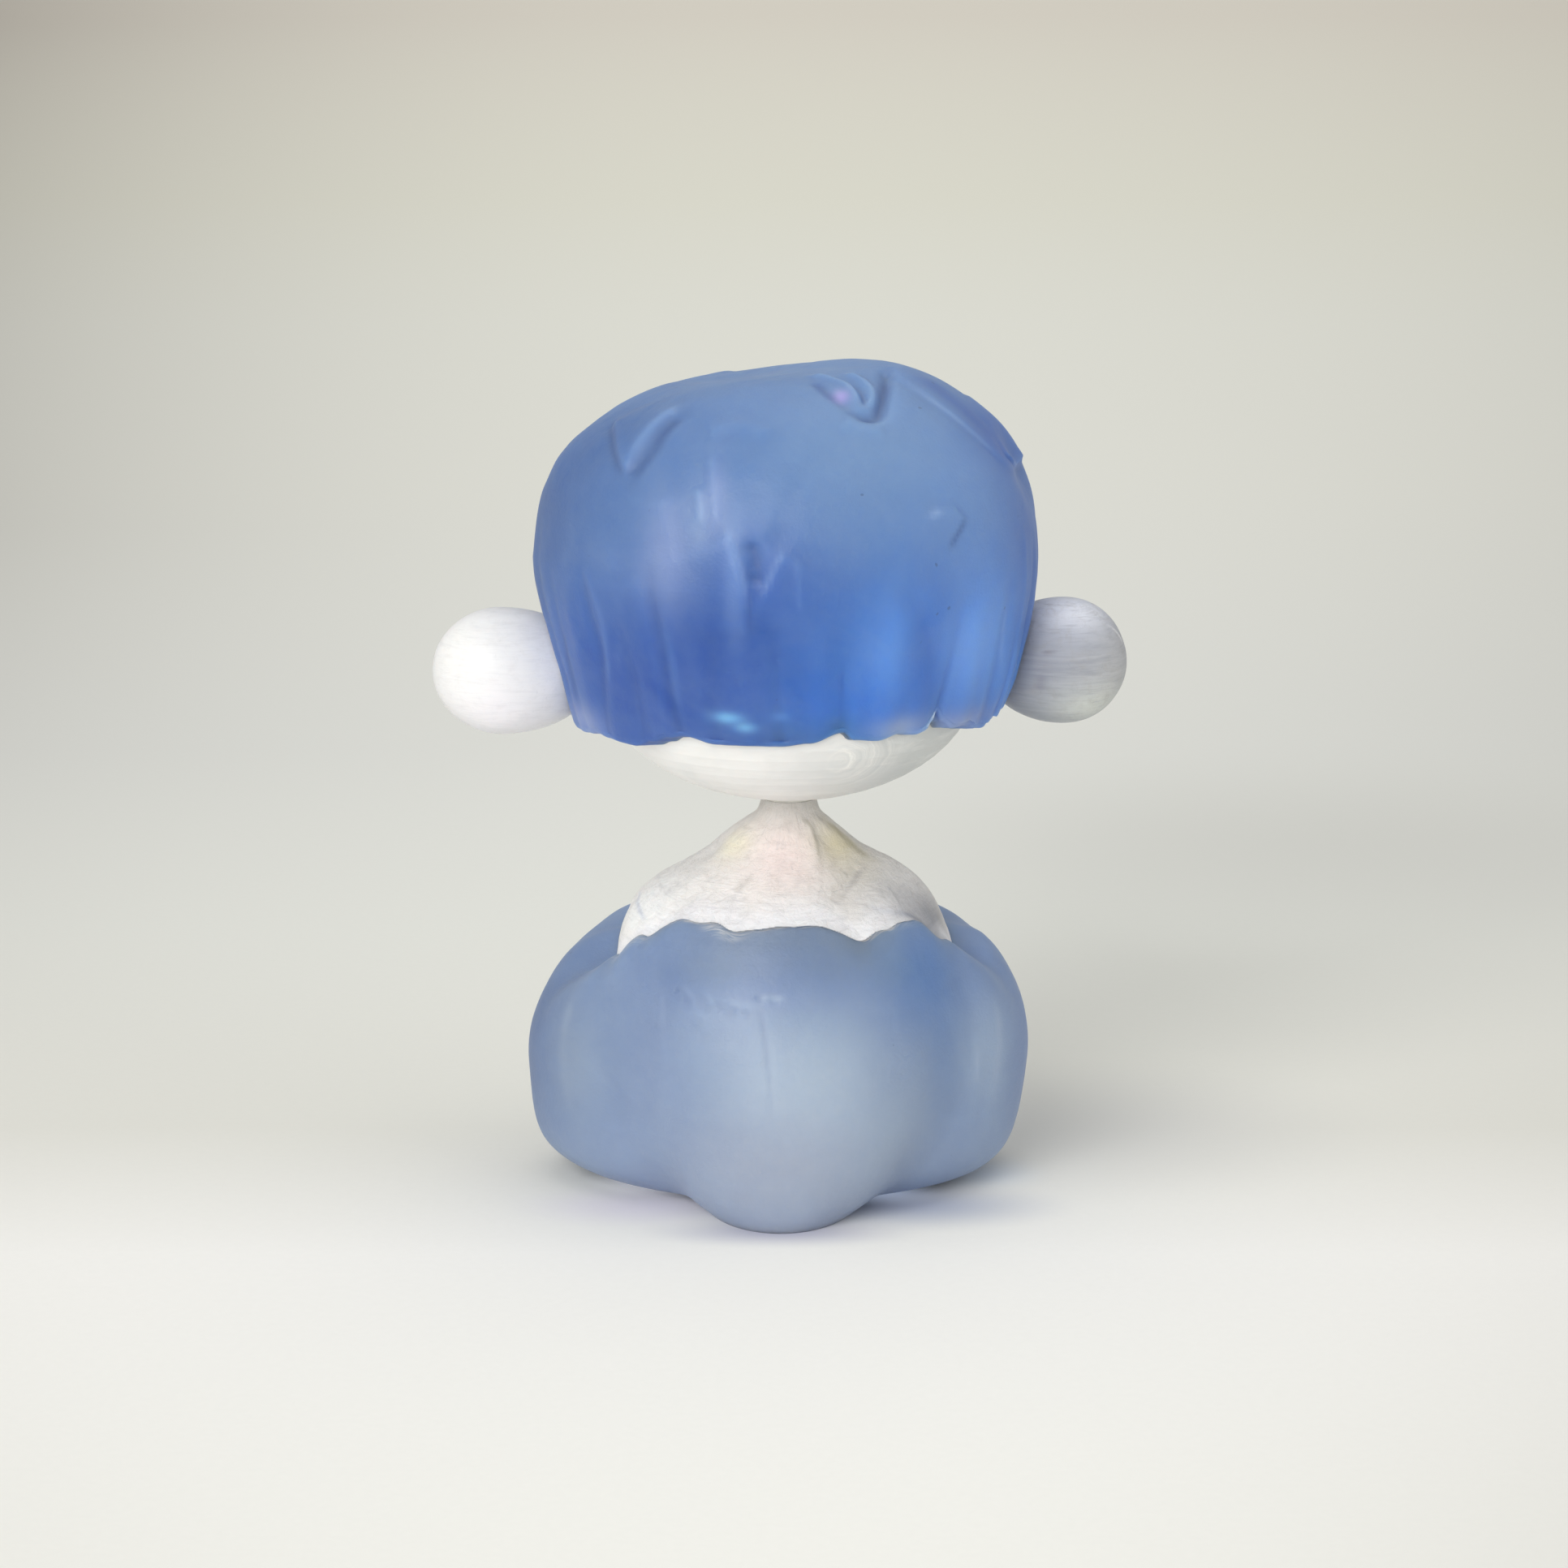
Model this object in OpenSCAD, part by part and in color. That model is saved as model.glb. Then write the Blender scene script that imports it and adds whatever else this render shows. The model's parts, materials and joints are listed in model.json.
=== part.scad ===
// Art toy bust: a swivelling head with a cast hair cap and two turning ball ears,
// on a narrow neck that rises from a pale bust set in a cast, translucent body.
// Millimetres, +Z up. The Z axis is the neck's axis, the front faces -Y,
// and z = 0 is the plane that the toy stands on.

/* [Body] */
// Width across both sleeves
body_w = 60.8; // [59:0.2:62]
// Depth of the sleeves and back
sleeve_d = 40; // [38:0.5:42]
// Height of the widest level of the sleeves
sleeve_mid = 14; // [12:0.5:16]
// How far the belly reaches in front of the neck's axis
belly_reach = 25; // [24:0.1:26]
// How thick the collar's edge laps over the bust
collar_lap = 0.6; // [0.4:0.1:1]

/* [Bust] */
// Radius of the shoulders
shoulder_r = 20.2; // [19.6:0.1:20.6]
// Radius of the neck where it meets the head
neck_r = 3.3; // [3:0.1:3.8]
// Height of the neck's flat top
neck_top = 47.4; // [47:0.1:47.6]
// Height of the lower end of the core inside the body
core_low = 9; // [8.5:0.1:10]

/* [Head] */
// Radius of the head at its widest level
head_r = 22.3; // [22:0.1:22.6]
// Height of the head's widest level
head_mid = 61.8; // [61.6:0.1:62]
// Drop from the widest level to the chin
chin_drop = 14; // [13.9:0.05:14.1]
// Rise from the widest level to the skull's top
skull_rise = 24; // [22:0.5:25]
// Wall of the hollow head
head_wall = 2.6; // [2.2:0.1:3]
// Height of the joint between the head's two halves
head_split = 71; // [70:0.5:72]

/* [Hair] */
// Width of the hair cap
hair_w = 59.2; // [58:0.2:60]
// Depth of the hair cap
hair_d = 55.6; // [54.6:0.2:57]
// Height of the hair's widest level
hair_mid = 76.8; // [76:0.2:78]
// Rise from the widest level to the crown
hair_rise = 22.4; // [21:0.2:23]
// How much the cap narrows from its widest level to its rim, each side
hair_tuck = 4.2; // [3.6:0.1:4.4]
// Gap between the hair cap and the head
hair_gap = 0.1; // [0.05:0.05:0.15]

/* [Ears] */
// Radius of each ear
ear_r = 7.6; // [7.4:0.05:7.8]
// Distance of the flat inner face from the neck's axis
ear_seat = 24.4; // [24.2:0.1:24.8]
// Diameter of an ear's pin
ear_pin_d = 2.5; // [2.4:0.1:2.6]

/* [Swivel] */
// Diameter of the spindle in the neck
spindle_d = 3; // [3:0.1:3.2]
// Radial play of a pin or spindle in its bush
play = 0.05; // [0.02:0.01:0.1]
// Thickness of the thrust washer on the neck
thrust_t = 0.4; // [0.3:0.1:0.5]

/* [Hidden] */

$fn = 64;
over = 1; // how far a cutter runs past the face that it cuts
facets = 60; // points round each lofted ring

blue = [0.43, 0.55, 0.75];
deep_blue = [0.27, 0.45, 0.75];
chalk = [0.93, 0.92, 0.90];
pearl = [0.80, 0.81, 0.84];
steel = [0.66, 0.67, 0.69];
brass = [0.80, 0.66, 0.36];
nylon = [0.95, 0.94, 0.90];
felt = [0.42, 0.47, 0.56];

// ---- Curves and lofts -------------------------------------------------

function ease(t) = t * t * (3 - 2 * t);

// A point on the smooth curve through four neighbours, t from the second to the third
function catmull(a, b, c, d, t) =
    0.5 * (2 * b + (c - a) * t + (2 * a - 5 * b + 4 * c - d) * t * t
    + (3 * b - a - 3 * c + d) * t * t * t);

// A smooth curve through the points, with some steps to each span
function smooth(points, steps) =
    let (last = len(points) - 1)
    concat([for (i = [0:last - 1]) for (s = [0:steps - 1])
        catmull(points[max(i - 1, 0)], points[i], points[i + 1],
            points[min(i + 2, last)], s / steps)], [points[last]]);

// A value that goes smoothly round the axis through [angle, value] pairs, 0 to 360
function around(pairs, angle, i = 0) =
    angle <= pairs[i + 1][0]
    ? let (t = (angle - pairs[i][0]) / (pairs[i + 1][0] - pairs[i][0]))
        pairs[i][1] + (pairs[i + 1][1] - pairs[i][1]) * ease(t)
    : around(pairs, angle, i + 1);

// How far a ray from the axis goes before it leaves an oval at [cx, cy]
function oval_reach(angle, cx, cy, a, b) =
    let (u = cos(angle), w = sin(angle),
        p = u * u / a / a + w * w / b / b,
        q = cx * u / a / a + cy * w / b / b,
        c = cx * cx / a / a + cy * cy / b / b - 1)
    (q + sqrt(q * q - p * c)) / p;

// The larger of two lengths, with a rounded valley k wide where they meet
function blend(a, b, k) =
    let (h = max(k - abs(a - b), 0) / k) max(a, b) + h * h * k / 4;

// A closed solid through rings of points that run anticlockwise seen from above
module loft(rings, low, high) {
    n = len(rings[0]);
    top = len(rings) - 1;
    function at(k, i) = 1 + k * n + i % n;
    polyhedron(
        points = concat([low], [for (ring = rings) each ring], [high]),
        faces = concat(
            [for (i = [0:n - 1]) [0, at(0, i), at(0, i + 1)]],
            [for (k = [0:top - 1]) for (i = [0:n - 1])
                [at(k, i), at(k + 1, i), at(k + 1, i + 1)]],
            [for (k = [0:top - 1]) for (i = [0:n - 1])
                [at(k, i), at(k + 1, i + 1), at(k, i + 1)]],
            [for (i = [0:n - 1]) [(top + 1) * n + 1, at(top, i + 1), at(top, i)]]));
}

function round_angles() = [for (i = [0:facets - 1]) i * 360 / facets];
function polar(r, angle, z) = [r * cos(angle), r * sin(angle), z];

// ---- Bust and neck ----------------------------------------------------

// The bust's outline from the neck's top to the core's lower end, as [radius, height]
bust_outline = smooth([
    [neck_r, neck_top], [neck_r + 0.3, 46.2], [4.2, 45.4], [5.4, 44.5], [7.6, 42.7],
    [9.7, 40.8], [13.1, 38.5], [16.4, 36.5], [shoulder_r - 1.5, 33.8],
    [shoulder_r, 28.6], [19, 21], [14.6, 14], [8, core_low + 0.8]], 4);

function bust_radius(z) = lookup(z, [for (p = bust_outline) [p[1], p[0]]]);

module bust_solid() {
    rotate_extrude()
        polygon(concat([[0, neck_top]], bust_outline, [[5, core_low], [0, core_low]]));
}

module bust() {
    color(chalk)
        difference() {
            bust_solid();
            translate([0, 0, core_low - over])
                cylinder(r = spindle_r, h = neck_top - core_low + 2 * over);
        }
}

// ---- Body -------------------------------------------------------------

spindle_r = spindle_d / 2;
pad_r = 12; // radius of the base pad
pad_t = 1; // its thickness
pocket_r = 5; // radius of the pocket for the spindle's head
body_cx = -1; // the sleeves' middle, beside the neck's axis
body_cy = 3.5; // and behind it
loose_z = 23; // below this the rings are level, above it they follow the collar
sleeve_round = 2.3; // how square the sleeves' upper outline is: 2 is an ellipse
foot_round = 4.1; // and their lower outline
foot_cx = -1; // the belly's foot leans this far towards -X at the bottom
foot_h = 12; // and stands straight from this height up

// Height of the collar's edge: three scallops in front, low tips at both sides
collar_line = [[0, 27.8], [15, 30.6], [32, 32], [90, 32.4], [148, 32], [165, 30],
    [180, 26.8], [196, 29.4], [213, 33.1], [230, 35.8], [243, 36.1], [253, 35.3],
    [264, 36], [283, 36.1], [298, 34], [308, 34.9], [323, 35.1], [342, 31.3], [360, 27.8]];

// How far a rounded edge still reaches, from 1 down to 0, as t goes from 0 to 1
function quarter(t, power) = pow(max(1 - pow(t, power), 0), 1 / power);

// The sleeves and the back, which close onto the bust at the collar's edge
function sleeve_radius(angle, z) =
    let (wide = oval_reach(angle, body_cx, body_cy, body_w / 2, sleeve_d / 2),
        top = shoulder_r - 2, edge = around(collar_line, angle))
    z > sleeve_mid
    ? top + (wide - top) * quarter((z - sleeve_mid) / (edge - sleeve_mid), sleeve_round)
    : wide * quarter((sleeve_mid - z) / (sleeve_mid + 0.4), foot_round);

belly_top = 33; // above this the belly is only a lap round the bust
sleeve_crease = 3; // how wide the valley between the belly and the sleeves is
// The belly as [height, half width, reach, distance of its middle from the axis]
belly = smooth([[0, 9.2, belly_reach - 2.4, 9], [3, 13.3, belly_reach - 1.4, 8],
    [8, 17, belly_reach - 0.4, 6], [14, 19.2, belly_reach, 4.4],
    [20, 20.1, belly_reach - 0.7, 3], [26, 20.4, belly_reach - 2.4, 1.4],
    [31, 20.3, 20.6, 0.2], [belly_top, 19.9, 19.9, 0]], 3);

function belly_value(z, k) = lookup(z, [for (p = belly) [p[0], p[k]]]);

function belly_radius(angle, z) = z > belly_top
    ? bust_radius(z) + collar_lap
    : oval_reach(angle, foot_cx * max(1 - z / foot_h, 0), -belly_value(z, 3),
        belly_value(z, 1), belly_value(z, 2) - belly_value(z, 3));

function body_radius(angle, z) =
    blend(belly_radius(angle, z), sleeve_radius(angle, z), sleeve_crease);

function body_ring(z) = [for (a = round_angles()) polar(body_radius(a, z), a, z)];

function collar_ring(share) = [for (a = round_angles())
    let (z = loose_z + (around(collar_line, a) - loose_z) * share)
    polar(body_radius(a, z), a, z)];

module body_shell() {
    inner_edge = [for (a = round_angles())
        let (edge = around(collar_line, a))
        polar(bust_radius(edge) - 1, a, edge + 0.2)];
    color(blue)
        difference() {
            loft(concat([for (z = [0, 0.8, 2, 4, 6.5, 9.5, 12.5, 16, 19.5]) body_ring(z)],
                [for (s = [0, 0.25, 0.5, 0.7, 0.85, 1]) collar_ring(s)],
                [inner_edge]),
                [0, 0, 0], [0, 0, neck_top - 12]);
            bust_solid();
            translate([0, 0, -over])
                cylinder(r = pad_r, h = pad_t + over);
            cylinder(r = pocket_r, h = core_low + over);
        }
}

module base_pad() {
    color(felt)
        cylinder(r = pad_r, h = pad_t);
}

// ---- Neck swivel ------------------------------------------------------

washer_t = 0.6; // the flat washer under the core
washer_r = 3.5;
hex_af = 5.5; // across the flats of the spindle's head and the nut
spindle_head_t = 2;
thread_out = 1; // how much of the spindle shows above the nut
wave_t = 0.5; // the wave washer, pressed flat
wave_r = 2.7;
head_low = neck_top + thrust_t + play; // underside of the head's flat seat
bush_r = 2.6; // outside radius of the swivel bush
bush_flange_r = 4;
bush_flange_t = 0.8;
floor_top = head_low + 3.2; // top of the boss inside the head
nut_low = floor_top + bush_flange_t + play + wave_t; // above the bush and wave washer
nut_t = 4;
nut_collar_t = 1.2; // the nut's round locking collar

module hexagon(flats, height) {
    cylinder(r = flats / sqrt(3), h = height, $fn = 6);
}

module ring(outer, inner, height) {
    difference() {
        cylinder(r = outer, h = height);
        translate([0, 0, -over])
            cylinder(r = inner, h = height + 2 * over);
    }
}

module neck_spindle() {
    color(steel) {
        translate([0, 0, core_low - washer_t - spindle_head_t])
            hexagon(hex_af, spindle_head_t);
        translate([0, 0, core_low - washer_t])
            cylinder(r = spindle_r, h = nut_low + nut_t + thread_out - core_low + washer_t);
    }
}

module spindle_washer() {
    color(steel)
        translate([0, 0, core_low - washer_t])
            ring(washer_r, spindle_r, washer_t);
}

module thrust_washer() {
    color(nylon)
        translate([0, 0, neck_top])
            ring(neck_r - 0.2, spindle_r, thrust_t);
}

module wave_washer() {
    color(steel)
        translate([0, 0, nut_low - wave_t])
            ring(wave_r, spindle_r, wave_t);
}

module lock_nut() {
    color(steel)
        translate([0, 0, nut_low])
            difference() {
                union() {
                    hexagon(hex_af, nut_t - nut_collar_t);
                    cylinder(r = hex_af / 2 - 0.1, h = nut_t);
                }
                translate([0, 0, -over])
                    cylinder(r = spindle_r, h = nut_t + 2 * over);
            }
}

module swivel_bush() {
    color(brass)
        translate([0, 0, head_low])
            difference() {
                union() {
                    cylinder(r = bush_r, h = floor_top - head_low);
                    translate([0, 0, floor_top - head_low])
                        cylinder(r = bush_flange_r, h = bush_flange_t);
                }
                translate([0, 0, -over])
                    cylinder(r = spindle_r + play,
                        h = floor_top - head_low + bush_flange_t + 2 * over);
            }
}

// ---- Head -------------------------------------------------------------

lip_t = 1.2; // thickness and depth of the lip that locates the skull
lip_h = 2;

// A point on the head's outline, or inset from it: 0 is the chin and 180 the crown
function head_point(angle, inset) = [
    (head_r - inset) * sin(angle),
    head_mid - (angle < 90 ? chin_drop - inset : skull_rise - inset) * cos(angle)];

function head_radius(z, inset) =
    let (half = (z < head_mid ? chin_drop : skull_rise) - inset)
    (head_r - inset) * sqrt(max(1 - pow((z - head_mid) / half, 2), 0));

// Angle of the outline's point at a height above the widest level
function upper_angle(z, inset) = 90 + asin((z - head_mid) / (skull_rise - inset));

// Half of the whole head's outline, inset or, with a value below zero, grown
module head_profile(inset) {
    polygon(concat([[0, head_mid - chin_drop + inset]],
        [for (a = [6:6:174]) head_point(a, inset)], [[0, head_mid + skull_rise - inset]]));
}

module head_lower() {
    inner = head_wall;
    color(chalk)
        difference() {
            union() {
                rotate_extrude()
                    polygon(concat([[0, head_low], [3.5, head_low]],
                        [for (a = [12:6:90]) head_point(a, 0)],
                        [for (t = [0.25:0.25:1]) let (a = 90 + t * (upper_angle(head_split, 0) - 90))
                            head_point(a, 0)],
                        [[head_radius(head_split, inner) + lip_t, head_split],
                        [head_radius(head_split, inner) + lip_t, head_split - lip_h],
                        [head_radius(head_split - lip_h, inner), head_split - lip_h]],
                        [for (a = [90:-6:30]) head_point(a, inner)],
                        [[6, floor_top], [0, floor_top]]));
                for (side = [-1, 1])
                    ear_frame(side)
                        translate([0, 0, boss_in])
                            cylinder(r = boss_r, h = head_r - 0.8 * head_wall - boss_in);
            }
            translate([0, 0, head_low - over])
                cylinder(r = bush_r, h = floor_top - head_low + 2 * over);
            for (side = [-1, 1])
                ear_frame(side)
                    cylinder(r = ear_bush_r, h = head_r + over);
        }
}

module head_upper() {
    inner = head_wall;
    low = head_radius(head_split - lip_h, inner);
    seat = head_radius(head_split, inner) + lip_t;
    color(chalk)
        difference() {
            rotate_extrude()
                polygon(concat([[low, head_split - lip_h], [seat, head_split - lip_h],
                    [seat, head_split]],
                    [for (t = [0:0.1:1]) let (a = upper_angle(head_split, 0))
                        head_point(a + t * (180 - a), 0)],
                    [for (t = [1:-0.1:0]) let (a = upper_angle(head_split, inner))
                        head_point(a + t * (180 - a), inner)]));
            hair_dowel_places()
                cylinder(r = dowel_r, h = dowel_h);
        }
}

// ---- Hair -------------------------------------------------------------

dowel_r = 1;
dowel_h = 9;
dowel_x = 9; // each dowel stands this far to the side
dowel_low = head_mid + skull_rise - 4.6;
crown_power = 2.6; // how square the crown's outline is: 2 is an ellipse
hair_cx = -0.3;
hair_cy = 0.8;
crown_shift = 1.7; // the crown leans this far towards +X
rim_in = 5; // where the underside's own ring lies, in from the rim
ripple = 0.25; // depth of the eleven shallow folds above the rim

// Height of the ragged rim: fringe in front, notches between its locks
rim_line = [[0, 57.6], [20, 57], [60, 56.4], [90, 56.2], [120, 56.4], [160, 56.4],
    [186, 56.6], [209, 57.2], [226, 57.4], [240, 59.2], [250, 58.9], [270, 59],
    [284, 60.2], [292, 59.6], [306, 59.8], [313, 61.2], [320, 59.8], [334, 58.6],
    [346, 59], [360, 57.6]];

module hair_dowel_places() {
    for (x = [-dowel_x, dowel_x])
        translate([x, 0, dowel_low])
            children();
}

// A ring of the crown, by its angle from the crown's top
function crown_ring(angle) =
    let (share = pow(sin(angle), 2 / crown_power), lift = pow(cos(angle), 2 / crown_power))
    [for (a = round_angles())
        [hair_cx + crown_shift * lift + hair_w / 2 * share * cos(a),
        hair_cy + hair_d / 2 * share * sin(a), hair_mid + hair_rise * lift]];

// A ring below the widest level, by its share of the way down to the rim
function side_ring(share) = [for (a = round_angles())
    let (rim = around(rim_line, a), z = hair_mid + (rim - hair_mid) * share,
        tuck = hair_tuck * pow(share, 1.3) + ripple * share * share * sin(11 * a))
    [hair_cx + (hair_w / 2 - tuck) * cos(a), hair_cy + (hair_d / 2 - tuck) * sin(a), z]];

// The flat underside of the rim, a little way in from its edge
function under_ring() = [for (a = round_angles())
    [hair_cx + (hair_w / 2 - hair_tuck - rim_in) * cos(a),
    hair_cy + (hair_d / 2 - hair_tuck - rim_in) * sin(a), around(rim_line, a)]];

module hair_cap() {
    color(deep_blue)
        difference() {
            loft(concat([under_ring()], [for (s = [1:-0.14:0.16]) side_ring(s)],
                [for (a = [90:-9:9]) crown_ring(a)]),
                [hair_cx, hair_cy, head_mid - 3], [hair_cx + crown_shift, hair_cy, hair_mid + hair_rise]);
            rotate_extrude()
                head_profile(-hair_gap);
            hair_dowel_places()
                cylinder(r = dowel_r, h = dowel_h);
            for (side = [-1, 1])
                ear_frame(side) {
                    rotate_extrude()
                        ear_profile(side, ear_gap);
                    cylinder(r = ear_pin_r + ear_gap + 0.2, h = ear_seat);
                }
        }
}

module hair_dowels() {
    color(brass)
        hair_dowel_places()
            cylinder(r = dowel_r, h = dowel_h);
}

// ---- Ears -------------------------------------------------------------

ear_pin_r = ear_pin_d / 2;
ear_bush_r = 2.2; // outside radius of the bush in the head's wall
boss_in = 17; // inner face of the boss that holds the bush
boss_r = 4;
ear_gap = 0.3; // between an ear and the recess in the hair that it turns in
pin_in = 14.5; // inner end of the ear's pin
pin_deep = 36; // outer end of the pin, inside the ear
clip_t = 0.6;
clip_gap = 0.1; // end play between the clip and the bush

ear_y = 3.5; // the ears sit this far behind the neck's axis
ear_bush_out = head_r - 1; // outer end of the bush, inside the head's wall
ear_flange_r = 3.4;
ear_flange_t = 0.8;
ear_clip_r = 2.8;

// Heights of the two ears' axes, which aren't quite level
function ear_z(side) = side < 0 ? 62.2 : 63.5;
// Distance of each ear's widest place from the neck's axis
function ear_mid(side) = side < 0 ? 34.4 : 32.9;
// Length of each ear's outer end and of the egg's inner end
function ear_out(side) = side < 0 ? 8.3 : 7.6;
function ear_in(side) = side < 0 ? 11.5 : 9.8;

// Turns +Z to the side, along the axis of that side's ear
module ear_frame(side) {
    translate([0, ear_y, ear_z(side)])
        rotate([0, 90 * side, 0])
            children();
}

// Half of an ear's outline, or grown from it: an egg with its inner end cut flat
module ear_profile(side, grow) {
    seat_angle = acos((ear_mid(side) - ear_seat) / ear_in(side));
    polygon(concat([[0, ear_mid(side) - (ear_in(side) + grow) * cos(seat_angle)]],
        [for (t = [0:0.125:1]) let (a = seat_angle + t * (90 - seat_angle))
            [(ear_r + grow) * sin(a), ear_mid(side) - (ear_in(side) + grow) * cos(a)]],
        [for (a = [80:-10:0])
            [(ear_r + grow) * sin(a), ear_mid(side) + (ear_out(side) + grow) * cos(a)]]));
}

module ear(side) {
    ear_frame(side)
        difference() {
            rotate_extrude()
                ear_profile(side, 0);
            cylinder(r = ear_pin_r, h = pin_deep);
        }
}

module ear_pin(side) {
    ear_frame(side)
        translate([0, 0, pin_in])
            cylinder(r = ear_pin_r, h = pin_deep - pin_in);
}

module ear_bush(side) {
    ear_frame(side)
        difference() {
            union() {
                translate([0, 0, boss_in - ear_flange_t])
                    cylinder(r = ear_flange_r, h = ear_flange_t);
                translate([0, 0, boss_in])
                    cylinder(r = ear_bush_r, h = ear_bush_out - boss_in);
            }
            cylinder(r = ear_pin_r + play, h = head_r + over);
        }
}

module ear_clip(side) {
    ear_frame(side)
        translate([0, 0, boss_in - ear_flange_t - clip_gap - clip_t])
            ring(ear_clip_r, ear_pin_r, clip_t);
}

module ear_left() { color(chalk) ear(-1); }
module ear_right() { color(pearl) ear(1); }
module ear_pin_left() { color(steel) ear_pin(-1); }
module ear_pin_right() { color(steel) ear_pin(1); }
module ear_bush_left() { color(nylon) ear_bush(-1); }
module ear_bush_right() { color(nylon) ear_bush(1); }
module ear_clip_left() { color(steel) ear_clip(-1); }
module ear_clip_right() { color(steel) ear_clip(1); }

// ---- The assembly -----------------------------------------------------

body_shell();
bust();
base_pad();
neck_spindle();
spindle_washer();
thrust_washer();
wave_washer();
lock_nut();
head_lower();
head_upper();
swivel_bush();
hair_cap();
hair_dowels();
ear_bush_left();
ear_bush_right();
ear_left();
ear_pin_left();
ear_clip_left();
ear_right();
ear_pin_right();
ear_clip_right();
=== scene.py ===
"""Looks for the art toy bust: frosted castings, brushed paint, studio light and the camera.

The shapes repeat part.scad's own curves in millimetres, with the detail that a hand-made
casting shows worked into the meshes. Meshes are handed to Blender in metres.
"""

import json
import math

import bpy
import numpy as np
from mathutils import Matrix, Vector


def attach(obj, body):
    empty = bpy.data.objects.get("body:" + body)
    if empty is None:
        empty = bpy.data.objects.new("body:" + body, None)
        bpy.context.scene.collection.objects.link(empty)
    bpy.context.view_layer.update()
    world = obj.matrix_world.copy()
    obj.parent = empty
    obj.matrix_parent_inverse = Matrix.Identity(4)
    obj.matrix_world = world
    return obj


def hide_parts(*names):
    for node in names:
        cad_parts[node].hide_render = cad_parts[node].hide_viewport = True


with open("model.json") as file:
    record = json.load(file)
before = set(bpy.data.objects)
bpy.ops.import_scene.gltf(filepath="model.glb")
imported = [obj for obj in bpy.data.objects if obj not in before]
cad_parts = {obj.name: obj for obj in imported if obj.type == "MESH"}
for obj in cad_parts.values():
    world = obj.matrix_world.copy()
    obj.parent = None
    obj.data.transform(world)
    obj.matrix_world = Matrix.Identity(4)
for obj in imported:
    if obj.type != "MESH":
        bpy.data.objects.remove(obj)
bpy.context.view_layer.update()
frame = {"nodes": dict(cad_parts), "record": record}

MM = 0.001
COLUMNS, EAR_COLUMNS = 400, 160  # points round each ring of the castings and of an ear

# ---- The part's own measurements, in millimetres ----

BODY_W, SLEEVE_D, SLEEVE_MID, BELLY_REACH = 60.8, 40.0, 14.0, 25.0
BODY_CX, BODY_CY = -1.0, 3.5
SLEEVE_ROUND, FOOT_ROUND, FOOT_CX, FOOT_H = 2.3, 4.1, -1.0, 12.0
SHOULDER_R, NECK_R, NECK_TOP, CORE_LOW, CORE_R = 20.2, 3.3, 47.4, 9.0, 5.0
SPINDLE_R, PAD_R, PAD_T, POCKET_R = 1.5, 12.0, 1.0, 5.0
HEAD_R, HEAD_MID, CHIN_DROP, SKULL_RISE, HAIR_GAP = 22.3, 61.8, 14.0, 24.0, 0.1
HAIR_W, HAIR_D, HAIR_MID, HAIR_RISE, HAIR_TUCK = 59.2, 55.6, 76.8, 22.4, 4.2
HAIR_CX, HAIR_CY, CROWN_SHIFT, CROWN_POWER, RIM_ROUND = -0.3, 0.8, 1.7, 2.6, 0.7
EAR_Y, EAR_R, EAR_SEAT, EAR_PIN_R, EAR_PIN_END, EAR_GAP = 3.5, 7.6, 24.4, 1.25, 36.0, 0.3
EARS = {
    -1: {"z": 62.2, "mid": 34.4, "out": 8.3, "in": 11.5},
    1: {"z": 63.5, "mid": 32.9, "out": 7.6, "in": 9.8},
}

COLLAR_LINE = [
    (0, 27.8), (15, 30.6), (32, 32), (90, 32.4), (148, 32), (165, 30), (180, 26.8), (196, 29.4),
    (213, 33.1), (230, 35.8), (243, 36.1), (253, 35.3), (264, 36), (283, 36.1), (298, 34),
    (308, 34.9), (323, 35.1), (342, 31.3), (360, 27.8),
]
# The rim's finer notches and scallops in front; the back keeps to the part's own line
RIM_LINE = [
    (0, 57.4), (6, 57.9), (12, 57), (20, 57.2), (31, 56.7), (36, 57.2), (47, 56.5), (60, 56.7),
    (66, 56.2), (78, 56.6), (90, 56.2), (101, 56.4), (108, 56.9), (120, 56.3), (133, 56.6),
    (140, 56.2), (151, 56.8), (160, 56.3), (172, 56.9), (186, 56.4), (196, 56.6), (203, 56.9),
    (209, 57.4), (214, 57.1), (225, 57), (232, 57.8), (237, 58.6), (243, 58.9), (251, 58.2),
    (260, 58.3), (268, 58.2), (276, 58.6), (285, 59.7), (288, 58.8), (295, 58.6), (301, 59.1),
    (307, 58.7), (310, 58.9), (312, 59.8), (313.5, 61.1), (316, 59.8), (320, 58.8), (325, 58.9),
    (332, 57.9), (337, 57.7), (338.5, 58.4), (342, 58.2), (344, 58.5), (345.5, 59.4), (349, 58.6),
    (352, 58.2), (360, 57.4),
]


# ---- Curves ----


def catmull(points, steps):
    """A smooth curve through the points, with some steps to each span."""
    p = np.asarray(points, float)
    last = len(p) - 1
    out = []
    for i in range(last):
        a, b, c, d = p[max(i - 1, 0)], p[i], p[i + 1], p[min(i + 2, last)]
        for s in range(steps):
            t = s / steps
            out.append(0.5 * (2 * b + (c - a) * t + (2 * a - 5 * b + 4 * c - d) * t * t
                              + (3 * b - a - 3 * c + d) * t ** 3))
    out.append(p[last])
    return np.array(out)


def smoothstep(t):
    t = np.clip(t, 0, 1)
    return t * t * (3 - 2 * t)


def around(pairs, degrees):
    """A value that goes smoothly round the axis through (angle, value) pairs."""
    xs, ys = np.array(pairs, float).T
    degrees = np.asarray(degrees, float) % 360
    i = np.clip(np.searchsorted(xs, degrees, side="right") - 1, 0, len(xs) - 2)
    t = (degrees - xs[i]) / (xs[i + 1] - xs[i])
    return ys[i] + (ys[i + 1] - ys[i]) * smoothstep(t)


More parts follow.
